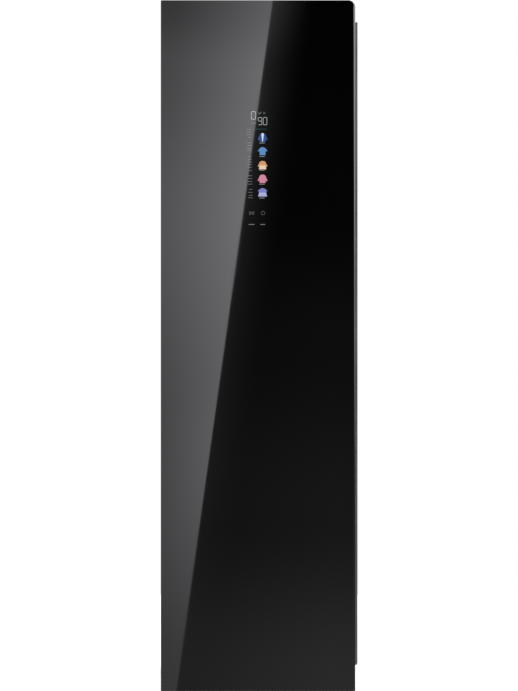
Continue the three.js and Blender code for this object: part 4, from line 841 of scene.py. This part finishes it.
WHITE_LIGHT = lit("white_marks", (0.78, 0.86, 0.84), 0.55)
COLLAR_LIGHT = lit("collar_marks", (0.85, 0.88, 0.92), 0.9)
DIM_LIGHT = lit("dim_marks", (0.55, 0.62, 0.62), 0.28)
CAPTION_LIGHT = lit("caption_marks", (0.8, 0.85, 0.85), 0.3)
TEAL_LIGHT = lit("teal_marks", (0.05, 0.4, 0.42), 0.2)
BLUE_LIGHT = lit("blue_marks", (0.035, 0.11, 0.36), 0.8)
SKY_LIGHT = lit("sky_marks", (0.13, 0.32, 0.68), 0.8)
ORANGE_LIGHT = lit("orange_marks", (0.72, 0.36, 0.16), 0.9)
CREAM_LIGHT = lit("cream_marks", (0.9, 0.68, 0.48), 0.9)
PINK_LIGHT = lit("pink_marks", (0.75, 0.28, 0.42), 0.85)
LILAC_LIGHT = lit("lilac_marks", (0.24, 0.26, 0.66), 0.85)
PALE_LILAC_LIGHT = lit("pale_lilac_marks", (0.5, 0.54, 0.85), 0.8)

SEGMENTS = {
    "0": "top bottom upper_left upper_right lower_left lower_right",
    "9": "top middle bottom upper_left upper_right lower_right",
}


def digit_bars(digit, left, top, width, height, stroke):
    """Bars of one segment digit, with pointed ends."""
    half, gap = stroke / 2, stroke / 4
    columns = (left + half, left + width - half)
    rows = (top + half, top + height / 2, top + height - half)

    def level(row, first, last):
        a, b = first + gap, last - gap
        upper = [(a + half, row - half), (b - half, row - half)]
        lower = [(b - half, row + half), (a + half, row + half)]
        return [(a, row), *upper, (b, row), *lower]

    def upright(column, first, last):
        return [(px, py) for py, px in level(column, first, last)]

    bars = {
        "top": level(rows[0], *columns),
        "middle": level(rows[1], *columns),
        "bottom": level(rows[2], *columns),
        "upper_left": upright(columns[0], rows[0], rows[1]),
        "upper_right": upright(columns[1], rows[0], rows[1]),
        "lower_left": upright(columns[0], rows[1], rows[2]),
        "lower_right": upright(columns[1], rows[1], rows[2]),
    }
    return [pixel_shape(bars[name]) for name in SEGMENTS[digit].split()]


def pixel_box(px0, py0, px1, py1):
    (x0, z1), (x1, z0) = at_px(px0, py0), at_px(px1, py1)
    return [(x0, z0), (x1, z0), (x1, z1), (x0, z1)]


def pixel_shape(points):
    return [at_px(px, py) for px, py in points]


def marks(name, polygons, material, layer=1):
    """Thin glowing plates on the door; an upper layer stands further out."""
    piece = thin_shapes(name, polygons, face_y - layer * MARK_RISE, face_y + MARK_RISE)
    return fit(piece, material, "door", "clear_plastic")


def display_marks():
    """Digits of the time, the signs beside it and the line below."""
    large, small = (4.7, 8.3, 0.55), (4.1, 7.8, 0.5)  # width, height and stroke
    digits = digit_bars("0", 251.1, 111.3, *large)
    for digit, left in (("9", 258), ("0", 263)):
        digits += digit_bars(digit, left, 117.2, *small)
    marks("time_digits", digits, WHITE_LIGHT)
    tick = (
        (258.2, 113.2), (258.6, 112.7), (259.4, 113.5), (261, 111.7), (261.5, 112.2),
        (259.4, 114.5),
    )
    dashes = (
        (263, 112.2, 265.3, 112.6), (263, 113.6, 265.3, 114), (250.8, 123, 255.2, 123.4),
        (255.3, 122.7, 256, 123.7),
    )
    signs = [pixel_shape(tick)] + [pixel_box(*dash) for dash in dashes]
    marks("status_signs", signs, DIM_LIGHT)
    marks("divider_line", [pixel_box(256, 128.9, 266.5, 129.3)], TEAL_LIGHT)


SIDE_ROWS = (
    129.3, 131.9, 134.5, 137.4, 142.9, 145.5, 148.3, 150.3, 156.5, 159.3, 162, 164.6, 167.4,
    170.5, 175.7, 178.6, 181.5, 184.1, 189.4, 192.4, 195.4, 197.7,
)
SIDE_WIDTHS = (3.9, 4.7, 4.4, 3.3, 4.2)
PICTURE_ROWS = (143.1, 156.5, 170.3, 184.2, 198)


def program_list():
    """Plain dashes in place of the words beside and below the pictures."""
    end_at_top, lean, half = 251.1, 1.6, 0.2
    bars = []
    for i, row in enumerate(SIDE_ROWS):
        width = SIDE_WIDTHS[i % len(SIDE_WIDTHS)]
        end = end_at_top + lean * (row - SIDE_ROWS[0]) / (SIDE_ROWS[-1] - SIDE_ROWS[0])
        bars.append(pixel_box(end - width, row - half, end, row + half))
    marks("side_dashes", bars, DIM_LIGHT)
    half = 0.3
    bars = [pixel_box(259.4, row - half, 264.6, row + half) for row in PICTURE_ROWS]
    bars += [pixel_box(248.6, 224.2, 254.4, 224.7), pixel_box(260.4, 224.2, 265, 224.7)]
    marks("caption_dashes", bars, CAPTION_LIGHT)


def garment(top, height, sleeve, flare=0.0):
    """Outlines of a small garment sign: a broad body and two short sleeves.

    The sleeve ends at a share of the height, and the flare widens the hem.
    """
    middle, collar, body, reach = 262.6, 0.8, 2.9, 4.7
    shoulder, hem, cuff = top + 0.5, top + height, top + height * sleeve
    sides = (-1, 1)
    left, right = [
        [(middle + side * collar, top), (middle + side * body, shoulder + 0.5),
         (middle + side * (body + flare), hem)]
        for side in sides
    ]
    shapes = [left[:1] + right + left[:0:-1]]
    for side in sides:
        arm, wrist = middle + side * body * 0.9, middle + side * (reach + 0.2)
        inner_wrist = middle + side * (reach - 1.4)
        shapes.append([
            (arm, shoulder + 0.4), (wrist, cuff - 0.6), (inner_wrist, cuff),
            (arm, shoulder + 2.8),
        ])
    return [pixel_shape(shape) for shape in shapes]


def program_pictures():
    """A garment sign for each program, some with a paler panel over them."""
    for name, shape, light in (
        ("jacket_sign", (133.2, 8.9, 0.8), BLUE_LIGHT),
        ("shirt_sign", (147.2, 7.9, 0.55), SKY_LIGHT),
        ("coat_sign", (160.9, 8.5, 0.7, 0.8), ORANGE_LIGHT),
        ("jumper_sign", (174.6, 8.4, 0.8), PINK_LIGHT),
        ("dress_sign", (188.2, 8.3, 0.4, 1.6), LILAC_LIGHT),
    ):
        marks(name, garment(*shape), light)
    # ends of the upper edge and its row, then those of the lower edge
    for name, upper, lower, light in (
        ("collar_signs", (261.4, 263.8, 133.3), (262.3, 262.9, 141.6), COLLAR_LIGHT),
        ("coat_panel_sign", (259.9, 265.3, 165.4), (259, 266.2, 169.3), CREAM_LIGHT),
        ("dress_panel_sign", (259.4, 265.8, 192.6), (258.3, 266.9, 196.4), PALE_LILAC_LIGHT),
    ):
        (a, b, top), (c, d, bottom) = upper, lower
        panel = pixel_shape([(a, top), (b, top), (d, bottom), (c, bottom)])
        marks(name, [panel], light, layer=2)


def touch_signs():
    """A triangle with a pause sign, and a ring."""
    def outline(points, inner_share):
        """Closed line inside a shape, about its centre."""
        cx, cy = (sum(values) / len(points) for values in zip(*points))
        inner = [(cx + (x - cx) * inner_share, cy + (y - cy) * inner_share) for x, y in points]
        for i in range(len(points)):
            j = (i + 1) % len(points)
            yield pixel_shape([points[i], points[j], inner[j], inner[i]])

    play = [(249.4, 211.4), (252.2, 213.1), (249.4, 214.9)]
    signs = [*outline(play, 0.68), *outline(circle(263, 213.1, 1.9, 24), 0.85)]
    signs += [pixel_box(left, 211.4, left + 0.3, 214.9) for left in (252.6, 253.6)]
    marks("touch_signs", signs, DIM_LIGHT)


display_marks()
program_list()
program_pictures()
touch_signs()


# studio
GLASS_REFLECTANCE = 0.04
CARD_GAP = 2.4  # from the door's face to the card that it mirrors
CARD_SCALE = 1 + CARD_GAP / camera_distance
CARD_TINT = (0.99, 0.99, 1.035)

# Tones that the door shows, as (share of the way down, screen level of 0 to 255)
SOFT_BOX_EDGE = ((0, 94), (0.12, 107), (0.28, 110), (0.6, 92), (1, 56))
SOFT_BOX_LEFT = ((0, 54), (0.1, 70), (0.28, 78), (0.7, 45), (1, 42))
DARK_ROOM = ((0, 1), (0.3, 3), (0.5, 12), (0.75, 22), (1, 41))
EDGE_GLOW = ((0, 44), (0.1, 31), (0.5, 18), (1, 4))
BEVEL_INNER = ((0.07, 118), (0.12, 84), (0.33, 28), (0.56, 8), (0.93, 38))
BEVEL_OUTER = ((0.07, 144), (0.28, 132), (0.45, 98), (0.7, 10), (1, 8))


def math_node(tree, operation, a, b=None, c=None):
    """Output of a math node; each input is a number or a socket."""
    node = tree.nodes.new("ShaderNodeMath")
    node.operation = operation
    for socket, value in zip(node.inputs, (a, b, c)):
        if value is None:
            continue
        if isinstance(value, (int, float)):
            socket.default_value = value
        else:
            tree.links.new(value, socket)
    return node.outputs[0]


def clamped(tree, value):
    return math_node(tree, "MAXIMUM", math_node(tree, "MINIMUM", value, 1), 0)


def object_axes(tree):
    """X, Y and Z of the object's own coordinates."""
    coords = tree.nodes.new("ShaderNodeTexCoord")
    axes = tree.nodes.new("ShaderNodeSeparateXYZ")
    tree.links.new(coords.outputs["Object"], axes.inputs["Vector"])
    return axes.outputs


def seen(tree):
    """1 for what is seen, straight on or in a mirror or through plastic, and 0 for light cast."""
    path = tree.nodes.new("ShaderNodeLightPath")
    direct, mirrored = path.outputs["Is Camera Ray"], path.outputs["Is Glossy Ray"]
    either = math_node(tree, "MAXIMUM", direct, mirrored)
    return math_node(tree, "MAXIMUM", either, path.outputs["Is Transmission Ray"])


def linear(level):
    """Linear light of a screen level of 0 to 255."""
    share = level / 255
    return share / 12.92 if share < 0.04045 else ((share + 0.055) / 1.055) ** 2.4


def ramp(tree, value, tones):
    """Smooth linear light through a table of tones."""
    stops = [(place, linear(level)) for place, level in tones]
    node = tree.nodes.new("ShaderNodeValToRGB")
    node.color_ramp.interpolation = "EASE"
    elements = node.color_ramp.elements
    top = max(light for place, light in stops)
    while len(elements) < len(stops):
        elements.new(0.5)
    for element, (place, light) in zip(elements, stops):
        element.position = place
        element.color = (light / top,) * 3 + (1,)
    tree.links.new(value, node.inputs["Fac"])
    return math_node(tree, "MULTIPLY", node.outputs["Color"], top)


def mirrored(name, shown, tint=(1, 1, 1)):
    """A card's material; shown(tree) is the light that the glass gives back of it."""
    material = bpy.data.materials.new(name)
    material.use_nodes = True
    tree = material.node_tree
    tree.nodes.clear()
    out = tree.nodes.new("ShaderNodeOutputMaterial")
    light = tree.nodes.new("ShaderNodeEmission")
    light.inputs["Color"].default_value = (*tint, 1)
    strength = math_node(tree, "DIVIDE", shown(tree), GLASS_REFLECTANCE)
    tree.links.new(strength, light.inputs["Strength"])
    tree.links.new(light.outputs["Emission"], out.inputs["Surface"])
    return material


def flat_surface(name, place, rectangles, material):
    """Separate rectangles in one plane, each (low, high, low, high) along its two axes."""
    bm = bmesh.new()
    for u0, u1, v0, v1 in rectangles:
        corners = ((u0, v0), (u1, v0), (u1, v1), (u0, v1))
        bm.faces.new([bm.verts.new(place(u, v, 0)) for u, v in corners])
    thing = mesh_object(name, bm)
    thing.data.materials.append(material)
    return thing


def glossy_only(card):
    card.visible_camera = False
    card.visible_diffuse = False
    card.visible_transmission = False
    card.visible_shadow = False
    card.visible_volume_scatter = False


def mirrored_card():
    """What the door mirrors: a soft box on the left with a leaning edge, and a dark room."""
    x_mid, z_mid = photo_middle
    edge_at_top, lean, edge_blur = 272.8, -0.1395, 1 / 1.5
    box_fade, box_power = 100, 1.3
    glow_fade, glow_power = 45, 2
    room_dim, room_from, room_span = 0.65, 200, 130  # the room is paler towards the right

    def shown(tree):
        axes = object_axes(tree)
        across = math_node(tree, "MULTIPLY_ADD", axes["X"], 1 / CARD_SCALE, x_mid)
        height = math_node(tree, "MULTIPLY_ADD", axes["Z"], 1 / CARD_SCALE, z_mid)
        px = math_node(tree, "MULTIPLY_ADD", across, 1 / (MM_PER_PX * MM), PX_OF_X0)
        drop = math_node(tree, "SUBTRACT", CABINET_TOP, height)
        py = math_node(tree, "MULTIPLY_ADD", drop, 1 / (MM_PER_PX * MM), PX_OF_TOP)
        down = math_node(tree, "DIVIDE", py, PHOTO_HEIGHT_PX)
        edge = math_node(tree, "MULTIPLY_ADD", py, lean, edge_at_top)
        beyond = math_node(tree, "SUBTRACT", px, edge)

        near, far = ramp(tree, down, SOFT_BOX_EDGE), ramp(tree, down, SOFT_BOX_LEFT)
        toward = clamped(tree, math_node(tree, "MULTIPLY_ADD", beyond, 1 / box_fade, 1))
        toward = math_node(tree, "POWER", toward, box_power)
        rise = math_node(tree, "SUBTRACT", near, far)
        bright = math_node(tree, "MULTIPLY_ADD", toward, rise, far)

        slope = (1 - room_dim) / room_span
        paler = math_node(tree, "MULTIPLY_ADD", px, slope, room_dim - slope * room_from)
        paler = math_node(tree, "MINIMUM", paler, 1)
        room = math_node(tree, "MULTIPLY", ramp(tree, down, DARK_ROOM), paler)
        fall = math_node(tree, "MULTIPLY_ADD", beyond, -1 / glow_fade, 1)
        fall = math_node(tree, "POWER", math_node(tree, "MAXIMUM", fall, 0), glow_power)
        dark = math_node(tree, "MULTIPLY_ADD", fall, ramp(tree, down, EDGE_GLOW), room)

        inside = clamped(tree, math_node(tree, "MULTIPLY_ADD", beyond, -1 / edge_blur, 0.5))
        span = math_node(tree, "SUBTRACT", bright, dark)
        return math_node(tree, "MULTIPLY_ADD", inside, span, dark)

    half_width, half_height = 0.8, 1.7
    card = flat_surface("mirrored_card", place_xz,
                        [(-half_width, half_width, -half_height, half_height)],
                        mirrored("mirrored_card", shown, CARD_TINT))
    card.location = (x_mid, face_y - CARD_GAP, z_mid)
    glossy_only(card)


def bevel_card():
    """Two tall strip lights at the right, one for each slope of the door's bevel."""
    strips, parting_y = ((-1.16, -0.84), (-0.44, -0.12)), -0.6
    x, middle_z, height = 1.6, 0.95, 2.6

    def shown(tree):
        axes = object_axes(tree)
        down = math_node(tree, "MULTIPLY_ADD", axes["Z"], -1 / height, 0.5)
        inner, outer = ramp(tree, down, BEVEL_INNER), ramp(tree, down, BEVEL_OUTER)
        beyond = math_node(tree, "GREATER_THAN", axes["Y"], parting_y)
        rise = math_node(tree, "SUBTRACT", outer, inner)
        return math_node(tree, "MULTIPLY_ADD", beyond, rise, inner)

    card = flat_surface("bevel_card", place_yz,
                        [(*strip, -height / 2, height / 2) for strip in strips],
                        mirrored("bevel_card", shown))
    card.location = (x, 0, middle_z)
    glossy_only(card)


def studio_floor():
    """White floor that takes light, and that glows a little where it is seen."""
    half, glow = 2.2, 0.49
    material = bpy.data.materials.new("studio_floor")
    material.use_nodes = True
    tree = material.node_tree
    inputs = tree.nodes["Principled BSDF"].inputs
    inputs["Base Color"].default_value = (0.85, 0.85, 0.85, 1)
    inputs["Roughness"].default_value = 0.9
    inputs["Specular IOR Level"].default_value = 0.1
    inputs["Emission Color"].default_value = (1, 1, 1, 1)
    strength = math_node(tree, "MULTIPLY", seen(tree), glow)
    tree.links.new(strength, inputs["Emission Strength"])
    floor = flat_surface("studio_floor", place_xy, [(-half, half, -half, half)], material)
    floor.visible_glossy = False  # the door mirrors its card down to the lower edge


def white_world():
    """White where it is seen, and dimmer as a source of light."""
    world = bpy.data.worlds.new("studio")
    world.use_nodes = True
    bpy.context.scene.world = world
    tree = world.node_tree
    back, dim = tree.nodes["Background"], 0.55
    back.inputs["Color"].default_value = (1, 1, 1, 1)
    strength = math_node(tree, "MULTIPLY_ADD", seen(tree), 1 - dim, dim)
    tree.links.new(strength, back.inputs["Strength"])


def square_lamp(name, place, aim, side, watts):
    data = bpy.data.lights.new(name, "AREA")
    data.shape = "SQUARE"
    data.size = side
    data.energy = watts
    lamp = bpy.data.objects.new(name, data)
    bpy.context.collection.objects.link(lamp)
    lamp.location = place
    lamp.rotation_mode = "QUATERNION"
    lamp.rotation_quaternion = (Vector(aim) - Vector(place)).to_track_quat("-Z", "Y")
    return lamp


def studio_light():
    white_world()
    for name, place, aim, side, watts in (
        ("key_lamp", (-2.4, -3.0, 3.0), (0, 0, 0.9), 1.6, 95),
        ("fill_lamp", (2.8, -2.6, 2.0), (0, 0, 0.9), 1.8, 55),
    ):
        lamp = square_lamp(name, place, aim, side, watts)
        lamp.visible_glossy = False  # the glass would mirror it as a hard patch
    square_lamp("rear_lamp", (1.2, 3.2, 2.8), (0, 0, 1.0), 1.8, 70)


mirrored_card()
bevel_card()
studio_floor()
studio_light()
bpy.context.scene.view_settings.view_transform = "Standard"
